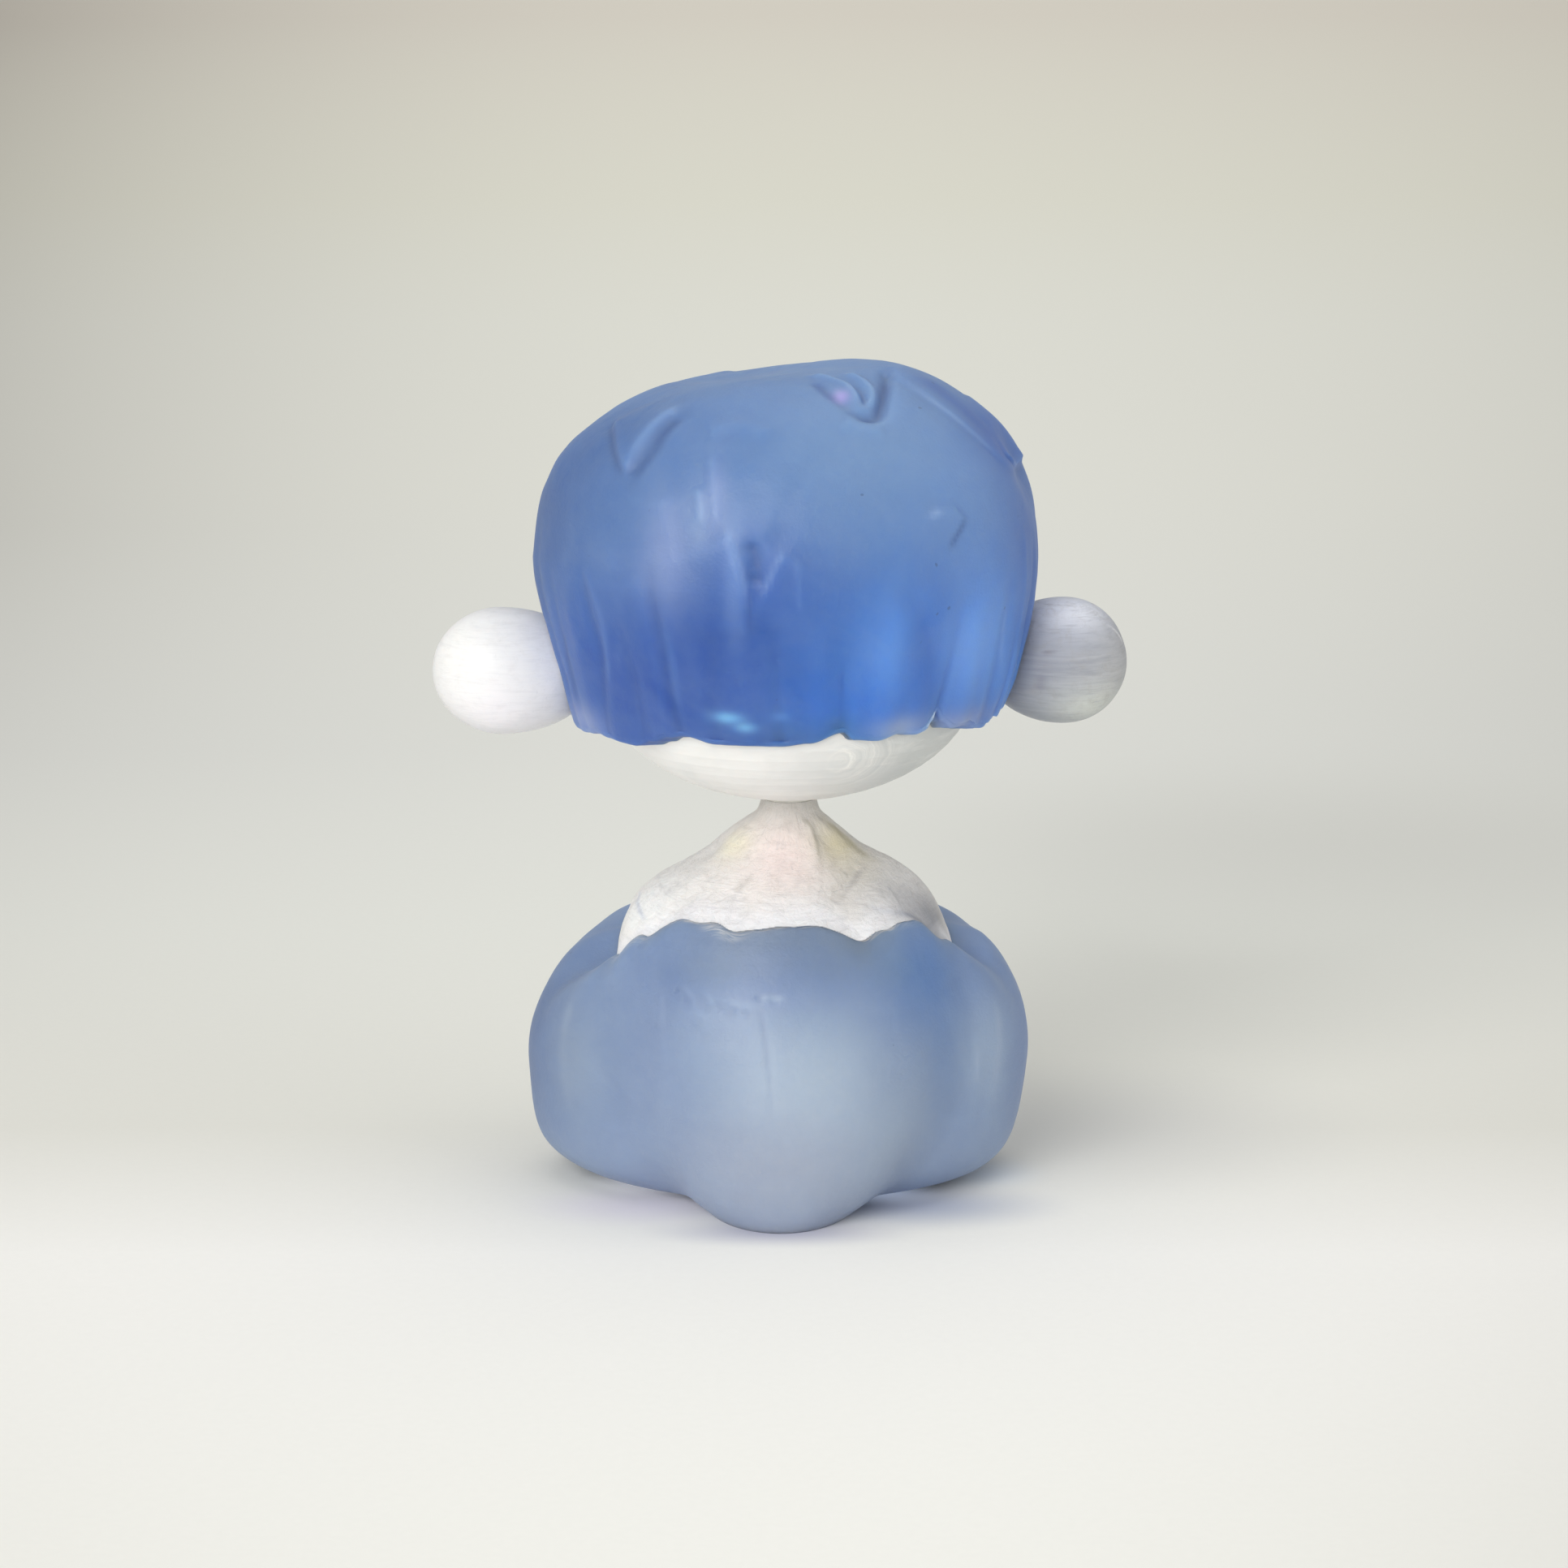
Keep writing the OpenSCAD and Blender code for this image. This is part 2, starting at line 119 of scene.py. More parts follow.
def circle(count=COLUMNS):
    return np.arange(count) / count * 2 * np.pi


def oval(a, cx, cy, rx, ry, z):
    """A level ring of points round an upright axis."""
    return np.stack([cx + rx * np.cos(a), cy + ry * np.sin(a), z + 0 * a], 1)


def polar(r, a, z):
    return oval(a, 0, 0, r, r, z)


def oval_reach(a, cx, cy, rx, ry):
    """How far an oval reaches from the main axis, at each angle."""
    u, w = np.cos(a), np.sin(a)
    p = (u / rx) ** 2 + (w / ry) ** 2
    q = cx * u / rx ** 2 + cy * w / ry ** 2
    c = (cx / rx) ** 2 + (cy / ry) ** 2 - 1
    return (q + np.sqrt(q * q - p * c)) / p


def soft_max(a, b, k):
    h = np.maximum(k - np.abs(a - b), 0) / k
    return np.maximum(a, b) + h * h * k / 4


def spread(rows, count):
    """Resamples a polyline evenly along its length."""
    rows = np.asarray(rows, float)
    length = np.concatenate([[0], np.cumsum(np.linalg.norm(np.diff(rows, axis=0), axis=1))])
    at = np.linspace(0, length[-1], count)
    return np.stack([np.interp(at, length, rows[:, k]) for k in range(rows.shape[1])], 1)


BUST_OUTLINE = catmull([
    (NECK_R, NECK_TOP), (NECK_R + 0.3, 46.2), (4.2, 45.4), (5.4, 44.5), (7.6, 42.7), (9.7, 40.8),
    (13.1, 38.5), (16.4, 36.5), (SHOULDER_R - 1.5, 33.8), (SHOULDER_R, 28.6), (19, 21), (14.6, 14),
    (8, CORE_LOW + 0.8),
], 4)
# The belly, by height: its half width, how far it reaches to the front, and to the back
BELLY = catmull([
    (0, 9.2, BELLY_REACH - 2.4, 9), (3, 13.3, BELLY_REACH - 1.4, 8), (8, 17, BELLY_REACH - 0.4, 6),
    (14, 19.2, BELLY_REACH, 4.4), (20, 20.1, BELLY_REACH - 0.7, 3),
    (26, 20.4, BELLY_REACH - 2.4, 1.4), (31, 20.3, 20.6, 0.2), (33, 19.9, 19.9, 0),
], 3)


def lean(points):
    """The shoulders and the collar stand a little to the left of the neck's axis."""
    z = points[..., 2]
    points = points.copy()
    points[..., 0] -= 0.6 * smoothstep((z - 22) / 10) * smoothstep((46 - z) / 5)
    return points


def bust_radius(z):
    return np.interp(z, BUST_OUTLINE[::-1, 1], BUST_OUTLINE[::-1, 0])


# ---- Seeded noise and worked detail ----


def lattice(cells, seed):
    h = (cells @ np.array([374761393, 668265263, 1442695041]) + seed * 974634777) & 0xFFFFFFFF
    h = ((h ^ (h >> 13)) * 1274126177) & 0xFFFFFFFF
    return ((h ^ (h >> 16)) & 0xFFFF) / 32767.5 - 1


def noise(points, size, seed):
    """Smooth 3-D value noise, -1 to 1, with features about `size` millimetres across."""
    q = points / size
    base = np.floor(q).astype(np.int64)
    f = smoothstep(q - base)
    total = 0
    for corner in np.ndindex(2, 2, 2):
        weight = np.prod(np.abs(1 - np.array(corner) - f), axis=-1)
        total = total + weight * lattice(base + corner, seed)
    return total


def bell(d, width):
    return np.exp(-((d / width) ** 2))


def both_ends(share, length):
    return smoothstep(share / length) * smoothstep((1 - share) / length)


def near_path(points, path):
    """Distance to a polyline, the nearest point, its direction, and its share of the way."""
    path = np.asarray(path, float)
    seg = np.linalg.norm(np.diff(path, axis=0), axis=1)
    start = np.concatenate([[0], np.cumsum(seg)[:-1]])
    best = np.full(points.shape[:-1], 1e9)
    spot = np.zeros(points.shape)
    way = np.zeros(points.shape)
    share = np.zeros(points.shape[:-1])
    for a, b, length, before in zip(path[:-1], path[1:], seg, start):
        d = (b - a) / length
        t = np.clip(((points - a) @ d), 0, length)
        c = a + t[..., None] * d
        dist = np.linalg.norm(points - c, axis=-1)
        hit = dist < best
        best = np.where(hit, dist, best)
        spot[hit], way[hit] = c[hit], d
        share = np.where(hit, (before + t) / seg.sum(), share)
    return best, spot, way, share


def ridge(points, path, height, width):
    """A raised line, or with a negative height a groove, along a path."""
    d, _, _, share = near_path(points, catmull(path, 4))
    return height * bell(d, width) * (0.25 + 0.75 * both_ends(share, 0.12))


def lock(points, normals, path, height, width, fade):
    """The edge of a lock laid over the surface: it stands up on the left of the path."""
    d, spot, way, share = near_path(points, catmull(path, 4))
    left = np.sum(np.cross(normals, way) * (points - spot), axis=-1)
    side = np.where(left > 0, d, -d)
    rise = smoothstep(0.5 + side / width) * np.exp(-np.maximum(side, 0) / fade)
    return height * rise * both_ends(share, 0.15)


def dent(points, spot, height, radius):
    return height * bell(np.linalg.norm(points - np.asarray(spot, float), axis=-1), radius)


def fold(points, places, height, width):
    """A long upright fold in the hair through (angle, height) places, worked out by angle."""
    z = points[..., 2]
    deg = np.degrees(np.arctan2(points[..., 1] - HAIR_CY, points[..., 0] - HAIR_CX))
    angles, heights = np.array(places, float).T
    order = np.argsort(heights)
    mid = np.interp(z, heights[order], angles[order])
    off = np.radians((deg - mid + 180) % 360 - 180) * 26
    inside = smoothstep((z - heights.min() + 5) / 5) * smoothstep((heights.max() + 4 - z) / 6)
    return height * bell(off, width) * inside


def worked(points, normals, waves, ridges=(), dents=(), locks=()):
    """How far the casting's waves, locks, ridges and dents move each point outwards."""
    move = sum(height * noise(points, size, seed) for height, size, seed in waves)
    for path, height, width, fade in locks:
        move = move + lock(points, normals, path, height, width, fade)
    for path, height, width in ridges:
        move = move + ridge(points, path, height, width)
    for place, height, radius in dents:
        move = move + dent(points, place, height, radius)
    return move


# ---- Meshes ----


def grid_normals(p):
    du = np.roll(p, -1, axis=1) - np.roll(p, 1, axis=1)
    dv = np.gradient(p, axis=0)
    n = np.cross(dv, du)
    return n / np.maximum(np.linalg.norm(n, axis=-1, keepdims=True), 1e-9)


def make_piece(name, rows, poles=None):
    """A closed mesh from rows of points, each row round the axis. The rows end in two poles,
    or without poles the last row joins the first."""
    m, n = rows.shape[:2]
    verts = rows.reshape(-1, 3)
    col = np.arange(n)
    nxt = (col + 1) % n
    quads = []
    for r in range(m if poles is None else m - 1):
        s = (r + 1) % m
        quads.append(np.stack([r * n + col, s * n + col, s * n + nxt, r * n + nxt], 1))
    faces = np.concatenate(quads).tolist()
    if poles is not None:
        verts = np.concatenate([verts, np.asarray(poles, float)])
        top, low = m * n, m * n + 1
        faces += np.stack([np.full(n, top), col, nxt], 1).tolist()
        faces += np.stack([(m - 1) * n + col, np.full(n, low), (m - 1) * n + nxt], 1).tolist()
    mesh = bpy.data.meshes.new(name)
    mesh.from_pydata((verts * MM).tolist(), [], faces)
    mesh.validate()
    mesh.shade_smooth()
    mesh.set_sharp_from_angle(angle=math.radians(50))
    piece = bpy.data.objects.new(name, mesh)
    bpy.context.scene.collection.objects.link(piece)
    return piece, verts


def linear(rgb):
    c = np.asarray(rgb, float) / 255
    return np.where(c <= 0.04045, c / 12.92, ((c + 0.055) / 1.055) ** 2.4)


def blend(colours, weight, rgb):
    weight = weight[..., None]
    return colours * (1 - weight) + linear(rgb) * weight


def paint(points, base, spots, lines):
    """Colours by position. Each spot blends its colour in round a place, and each line lays its
    colour along a path. Many are painted light and shade, such as painted shade in a crease or a
    painted highlight on a thin edge."""
    out = np.broadcast_to(linear(base), points.shape).copy()
    for place, radius, rgb, strength in spots:
        off = (points - np.asarray(place, float)) / np.asarray(radius, float)
        out = blend(out, strength * bell(np.linalg.norm(off, axis=-1), 1), rgb)
    for path, width, rgb, strength in lines:
        d, _, _, share = near_path(points, catmull(path, 3))
        out = blend(out, strength * (0.3 + 0.7 * both_ends(share, 0.2)) * bell(d, width), rgb)
    return out


def dress(piece, tone_and_light, flow, marks):
    """Keeps for each point its colour, painted light and shade included, where its brush strokes
    run, and how worn it is.
    """
    for name, values in (("tone_and_light", tone_and_light), ("marks", marks)):
        layer = piece.data.attributes.new(name, "FLOAT_COLOR", "POINT")
        values = np.concatenate([values, np.ones((len(values), 1))], 1)
        layer.data.foreach_set("color", values.reshape(-1).astype(np.float32))
    layer = piece.data.attributes.new("flow", "FLOAT_VECTOR", "POINT")
    layer.data.foreach_set("vector", np.stack(flow, 1).reshape(-1).astype(np.float32))


# ---- Materials ----


class Nodes:
    """A short way to wire one material."""

    def __init__(self, name):
        self.mat = bpy.data.materials.new(name)
        self.mat.use_nodes = True
        self.tree = self.mat.node_tree
        self.shader = self.tree.nodes["Principled BSDF"]

    def add(self, kind, **sockets):
        node = self.tree.nodes.new("ShaderNode" + kind)
        for key, value in sockets.items():
            self.put(node, key, value)
        return node

    def put(self, node, key, value):
        name = key.replace("_", " ")
        socket = node.inputs[name] if name in node.inputs else node.inputs[int(key[1:])]
        if isinstance(value, bpy.types.NodeSocket):
            self.tree.links.new(value, socket)
        else:
            socket.default_value = value

    def layers(self):
        """What dress() kept: the colour with its painted light and shade, the two kinds of mark and
        the flow.
        """
        found = []
        for name in ("tone_and_light", "marks", "flow"):
            node = self.add("Attribute")
            node.attribute_name = name
            found.append(node.outputs)
        marks = self.add("SeparateColor", Color=found[1]["Color"]).outputs
        return found[0]["Color"], marks["Red"], marks["Green"], found[2]["Vector"]

    def place(self, scale=(1, 1, 1), shift=(0, 0, 0)):
        coords = self.add("TexCoord").outputs["Object"]
        return self.add("Mapping", Vector=coords, Location=shift, Scale=scale).outputs["Vector"]

    def length(self, vector):
        node = self.add("VectorMath", _0=vector)
        node.operation = "LENGTH"
        return node.outputs["Value"]

    def grain(self, vector, scale, detail=2.0, roughness=0.5, distortion=0.0):
        return self.add("TexNoise", Vector=vector, Scale=scale, Detail=detail,
                        Roughness=roughness, Distortion=distortion).outputs["Fac"]

    def ramp(self, value, low, high, out_low=0.0, out_high=1.0):
        return self.add("MapRange", Value=value, From_Min=low, From_Max=high,
                        To_Min=out_low, To_Max=out_high).outputs["Result"]

    def mix(self, fac, a, b):
        node = self.add("Mix")
        node.data_type = "RGBA"
        self.put(node, "_0", fac)
        for index, value in ((6, a), (7, b)):
            flat = isinstance(value, tuple)
            self.put(node, f"_{index}", (*value, 1.0) if flat else value)
        return node.outputs[2]

    def math(self, op, a, b=0.0):
        node = self.add("Math", _0=a, _1=b)
        node.operation = op
        return node.outputs[0]

    def bump(self, height, strength, distance, under=None):
        node = self.add("Bump", Height=height, Strength=strength, Distance=distance)
        if under is not None:
            self.put(node, "Normal", under)
        return node.outputs["Normal"]

    def finish(self, **sockets):
        for key, value in sockets.items():
            self.put(self.shader, key, value)
        return self.mat


def frosted(name, depth, cloud):
    """Cast, translucent resin with an etched skin: light wanders in it, blue the furthest."""
    n = Nodes(name)
    tone_and_light, brushed, printed, flow = n.layers()
    here = n.place()
    broad = n.grain(here, 90, 3, 0.55, 0.6)
    fine = n.grain(here, 420, 4, 0.6)
    dust = n.grain(here, 2600, 2, 0.5)
    specks = n.grain(here, 1100, 0, 0.5)
    brush = n.grain(flow, 3.2, 4, 0.6, 0.4)
    colour = n.mix(n.ramp(broad, 0.35, 0.7, 0, cloud), tone_and_light, (0.42, 0.52, 0.66))
    colour = n.mix(n.ramp(fine, 0.3, 0.75, 0, 0.10), colour, (0.16, 0.24, 0.42))
    colour = n.mix(n.ramp(specks, 0.885, 0.91, 0, 0.4), colour, (0.05, 0.07, 0.13))
    colour = n.mix(n.math("MULTIPLY", brushed, n.ramp(brush, 0.40, 0.60)), colour,
                   (0.80, 0.82, 0.88))
    skin = n.bump(dust, 0.10, 0.0002)
    skin = n.bump(fine, 0.18, 0.0006, skin)
    rings = n.math("MULTIPLY", printed, n.ramp(brush, 0.2, 0.8, 0.6, 1.0))
    return n.finish(
        Base_Color=colour, Roughness=n.ramp(broad, 0.3, 0.7, 0.40, 0.52),
        Normal=n.bump(rings, 0.5, 0.00012, skin), IOR=1.5, Specular_IOR_Level=0.42,
        Subsurface_Weight=1.0, Subsurface_Radius=(0.7, 0.85, 1.0), Subsurface_Scale=depth)


def painted(name, gloss, grain_size, wear, contrast, stroke_depth, mottling):
    """Hand-brushed paint: fine strokes along the flow, thinner where it drags."""
    n = Nodes(name)
    tone_and_light, worn, _, flow = n.layers()
    here = n.place()
    strokes = n.grain(flow, grain_size, 5, 0.65, 0.35)
    broad = n.grain(flow, grain_size / 5, 3, 0.6, 1.2)
    patches = n.grain(here, 160, 3, 0.6, 0.8)
    mottle = n.grain(here, 700, 5, 0.7, 0.6)
    scratch = n.grain(n.place((2600, 900, 1500)), 1.0, 3, 0.7, 0.5)
    thin = n.math("MULTIPLY", n.ramp(strokes, 0.54, 0.72), n.ramp(patches, 0.42, 0.68))
    thin = n.math("MULTIPLY", thin, worn)
    colour = n.mix(n.math("MULTIPLY", thin, wear), tone_and_light, (0.30, 0.34, 0.42))
    colour = n.mix(n.ramp(broad, 0.35, 0.7, 0, 0.15), colour, (0.93, 0.92, 0.92))
    colour = n.mix(n.ramp(strokes, 0.5, 0.3, 0, contrast), colour, (0.25, 0.26, 0.32))
    colour = n.mix(n.ramp(mottle, 0.5, 0.25, 0, contrast), colour, (0.34, 0.32, 0.30))
    colour = n.mix(n.ramp(scratch, 0.36, 0.24, 0, contrast * 1.2), colour, (0.24, 0.25, 0.30))
    skin = n.bump(strokes, 0.5, stroke_depth)
    skin = n.bump(broad, 0.2, stroke_depth * 3, skin)
    return n.finish(
        Base_Color=colour, Roughness=n.ramp(strokes, 0.3, 0.7, gloss, gloss + 0.16),
        Normal=n.bump(mottle, mottling, 0.0003, skin), IOR=1.48, Specular_IOR_Level=0.4,
        Subsurface_Weight=0.25, Subsurface_Radius=(1.0, 0.8, 0.7), Subsurface_Scale=0.0012)


def metal(name, colour, rough):
    n = Nodes(name)
    turned = n.grain(n.place((1, 1, 60)), 260, 3, 0.6)
    tone = n.mix(n.ramp(turned, 0.3, 0.7), colour, tuple(c * 0.8 for c in colour))
    return n.finish(Base_Color=tone, Metallic=1.0, Normal=n.bump(turned, 0.2, 0.00005),
                    Roughness=n.ramp(turned, 0.3, 0.7, rough, rough + 0.15))


def plain_matte(name, colour, other, scale, rough, depth):
    n = Nodes(name)
    grain = n.grain(n.place(), scale, 4, 0.7)
    return n.finish(Base_Color=n.mix(n.ramp(grain, 0.35, 0.65), colour, other),
                    Roughness=n.ramp(grain, 0.3, 0.7, rough, min(rough + 0.1, 1)),
                    Normal=n.bump(grain, 0.5, depth))


# ---- Hair ----

# Waves are (height, size, seed). Locks, ridges and streaks are paths in millimetres.
HAIR_WAVES = [(0.30, 11, 3), (0.13, 4.6, 4), (0.035, 1.8, 5)]
# A lock stands up on the left of its path: path, height, width of its edge, how far it fades
HAIR_LOCKS = [
    # the pointed lock at the upper left
    ([(-20.8, -3.4, 94.2), (-20.5, -8.6, 93), (-20, -12.9, 91.4), (-19.1, -15.6, 89.9),
      (-18.4, -16.6, 89.5), (-17.2, -15.4, 91.8), (-15.1, -13.5, 94.3), (-13.3, -11.8, 95.8),
      (-11.5, -10.5, 96.8)], 0.5, 1.6, 3.6),
    # the layer that falls over the right of the crown
    ([(11.6, 3, 98.6), (12.5, -5.4, 98.1), (16, -9, 96.5), (20.8, -10.3, 93.5), (24.7, -9.5, 90),
      (26.6, -7.2, 88.4), (28.2, -2, 87.6), (28.4, 5, 88), (26, 13, 89)], 0.35, 2.0, 16.0),
    # the parted fringe: the lock on the left, then the one on the right
    ([(-4.7, -25.7, 71.2), (-4.8, -26.3, 74.4), (-5, -26.6, 77.5), (-5.5, -26.4, 79.5),
      (-6.4, -26, 82.2), (-7.1, -25.3, 84.2)], 0.45, 1.3, 4.0),
    ([(-0.4, -26.7, 82.2), (-1.4, -26.8, 80.4), (-2.8, -26.9, 77.3), (-4.1, -26.5, 75),
      (-4.6, -26, 72.5)], 0.22, 1.2, 5.0),
    # the tip of that layer, which hangs over at the right
    ([(25.2, -7, 90), (27.4, -4, 88.6), (28.2, 0, 88), (28, 5, 88.2)], 0.45, 0.7, 2.4),
    # a small lock low on the right of the forehead
    ([(15.6, -22, 84.4), (16.6, -21.3, 85.4), (18.4, -20, 85.6), (20, -18.9, 84.1),
      (19.2, -20, 82.8), (17.8, -21.1, 80.8)], -0.2, 0.8, 2.2),
    # locks at the sides and back, in the same manner
    ([(-27.5, 6, 88), (-28, 8, 82), (-26.5, 13, 76), (-25, 15, 69)], 0.35, 1.8, 6.0),
    ([(-14, 24, 88), (-16, 24.6, 80), (-15, 25, 72), (-16, 24, 64)], 0.35, 2.2, 7.0),
    ([(2, 22, 93), (4, 26.8, 84), (2, 28, 75), (3.5, 27, 66)], 0.4, 2.2, 6.0),
    ([(16, 21, 90), (18, 23, 81), (16, 24.5, 73), (17, 23.5, 65)], 0.35, 2.2, 7.0),
    ([(28.4, 8, 84), (28, 11, 77), (26, 14, 70)], 0.35, 1.6, 5.0),
    ([(-6, 12, 97.5), (-10, 17, 93.5), (-9, 21, 90), (-4, 22, 89.5)], 0.35, 1.8, 5.0),
]
HAIR_RIDGES = [
    # creases outside the pointed lock, and its bright right edge
    ([(-21.2, -5, 93.8), (-20.9, -9.5, 92.6), (-20.3, -13.6, 90.8),
      (-19.4, -16.4, 89.2)], -0.22, 0.8),
    ([(-18, -18, 88.6), (-17.2, -17.4, 89.9), (-15.5, -16.6, 92), (-14.4, -15, 93.6),
      (-12.4, -13.6, 95.3)], -0.42, 1.3),
    ([(-18.2, -16.6, 89.9), (-16.9, -15.3, 91.9), (-14.9, -13.3, 94.4),
      (-12.8, -11.6, 96)], 0.1, 0.6),
    # the small hooked swirl on the crown: two ridges and the deep crease round them
    ([(2.4, -6.8, 98.9), (4.4, -8.2, 98.6), (6.2, -9.8, 98.3), (7.3, -12.2, 97.6),
      (7.8, -14.8, 96.6)], 0.45, 0.65),
    ([(6.6, -6.4, 98.7), (8.2, -8.6, 98.3), (9.4, -11.2, 97.4), (9.5, -13.8, 96.6),
      (8.8, -15.2, 96.4)], 0.48, 0.65),
    ([(5, -8, 98.6), (7.4, -10.4, 98), (8.4, -13, 97), (8.5, -14.8, 96.5)], -0.4, 0.55),
    ([(3.2, -9.6, 98.3), (4.2, -12, 97.8), (5.6, -14.4, 97), (7, -16.2, 96.1)], -0.4, 0.9),
    ([(11.3, -2.5, 98.6), (11.1, -7, 98.1), (10.9, -10.6, 97.4), (10.6, -13.4, 96.6),
      (10, -16.1, 95.5), (8.6, -17, 95.5), (7.2, -16.7, 95.9)], -0.8, 0.8),
    ([(11, -18.6, 93.9), (8.6, -19, 94.2), (6, -18.2, 95)], 0.25, 1.2),
    # soft upright swellings on the left of the fringe
    ([(-15, -21, 87.2), (-14.1, -22.9, 83.6), (-12.6, -24.3, 78.8)], 0.22, 1.5),
    ([(-10.3, -22.8, 88.4), (-9.8, -24.4, 84.4)], 0.28, 0.6),
    ([(-8.6, -21, 91.6), (-8.2, -24.9, 84.6)], 0.3, 0.7),
    ([(-20.2, -18.8, 81.5), (-19.6, -20, 78)], 0.14, 1.2),
    ([(-17.4, -19.4, 87), (-16.4, -20.8, 85)], 0.12, 1.0),
    ([(-9.4, -18.2, 94), (-6.2, -18.3, 94.6), (-2, -20.3, 93.8)], 0.3, 1.3),
    # the soft valley down the middle, and the recess where the parted locks meet
    ([(1, -22.6, 91.8), (0.2, -25, 88), (-0.8, -26.3, 84.4), (-2.4, -26.7, 81.4)], -0.15, 1.6),
    ([(-4.6, -26.4, 82.8), (-3.9, -26.6, 81), (-3.7, -26.7, 79.6),
      (-3.8, -26.7, 77.6)], -0.3, 1.1),
    ([(-3.9, -26.3, 75), (-3.6, -25.8, 72), (-4, -25, 67)], -0.15, 1.8),
    ([(1, -26.8, 80.6), (1.2, -26.9, 75)], 0.12, 0.5),
    # fine creases at the sides
    ([(-23.4, -15.6, 79), (-22.2, -17.4, 75), (-21.4, -17.6, 71.3), (-21, -15.9, 64)], 0.1, 0.6),
    ([(-14.4, -22.9, 72.8), (-13.4, -22.2, 67.8), (-12.8, -20.9, 62)], 0.12, 0.7),
    ([(6.1, -24.4, 67.6), (6, -23.4, 63), (6, -22.4, 59.5)], -0.3, 0.5),
]
# Small round bubbles that reach the skin
BUBBLES = [
    (-17, -19.2, 64.7), (-19.6, -19.1, 70.8), (0.8, -24.1, 64.2), (-0.9, -25.5, 69),
    (-5.3, -24.5, 66.3), (-10, -22.8, 64.7), (-4, -26.7, 79.4),
]
# Upright folds as (angle, height) places, their depth and their width
HAIR_FOLDS = [
    ([(237, 77), (239, 70), (239, 58)], -0.34, 0.9), ([(234, 78), (235.5, 58)], 0.2, 1.5),
    ([(216, 76), (218, 68), (213, 58)], -0.26, 0.9), ([(209, 74), (207, 57)], 0.2, 1.4),
    ([(226, 72), (229, 57)], -0.14, 1.1), ([(252, 71), (250, 58)], -0.2, 1.2),
    ([(260, 69), (259, 58)], 0.16, 1.3), ([(267, 71), (268, 58)], -0.2, 1.0),
    ([(278, 72), (279, 58)], 0.2, 1.6), ([(296, 73), (297, 58)], 0.4, 2.6),
    ([(299.5, 76), (306, 71), (311, 66), (313, 60)], -0.4, 1.8),
    ([(321, 72), (325, 58)], 0.34, 1.8), ([(333, 74), (334, 58)], -0.3, 0.9),
    ([(340, 80), (342, 58)], 0.18, 0.6), ([(347, 78), (346, 58)], -0.26, 0.6),
    ([(355, 80), (353, 58)], -0.2, 0.7), ([(5, 76), (8, 57)], 0.3, 1.3),
    ([(14, 78), (18, 57)], -0.4, 1.3), ([(32, 80), (28, 57)], 0.35, 1.9),
    ([(44, 76), (47, 57)], -0.42, 1.2), ([(58, 80), (62, 57)], 0.3, 1.8),
    ([(72, 76), (69, 57)], -0.4, 1.3), ([(92, 78), (95, 57)], -0.3, 1.0),
    ([(104, 80), (101, 57)], 0.35, 1.8), ([(117, 76), (121, 57)], -0.45, 1.4),
    ([(139, 80), (136, 57)], 0.3, 1.6), ([(148, 78), (152, 57)], -0.4, 1.1),
    ([(165, 78), (163, 57)], 0.3, 1.5), ([(176, 74), (178, 57)], -0.35, 1.1),
    ([(191, 80), (194, 57)], -0.2, 1.0), ([(200, 76), (201, 57)], -0.14, 0.8),
]
# Dents that bring the outline to the casting's own: flatter shoulders on the crown
HAIR_DENTS = [
    ((-19, -3, 94.5), -0.9, 9), ((25, -4, 92.5), -1.1, 8.5), ((10, -8, 98.5), 0.25, 6),
    ((-20, 14, 93), -0.5, 9), ((18, 16, 93), -0.6, 9), ((-25.5, -11, 85.5), 0.2, 6),
    ((-26, -2, 89), 0.8, 6), ((-5, 3, 99), -1.1, 8), ((13, 2, 98.5), 1.0, 7),
    ((28.5, -2, 87), -1.0, 5), ((29.5, -3, 72), 0.8, 7), ((26.5, -5, 63), 1.2, 6),
    ((-28.5, -3, 75), 0.4, 8), ((-8, 8, 98.5), -0.6, 7), ((6, 6, 99.4), 0.3, 5),
    ((27.5, 0, 90), -0.6, 3.5),
]
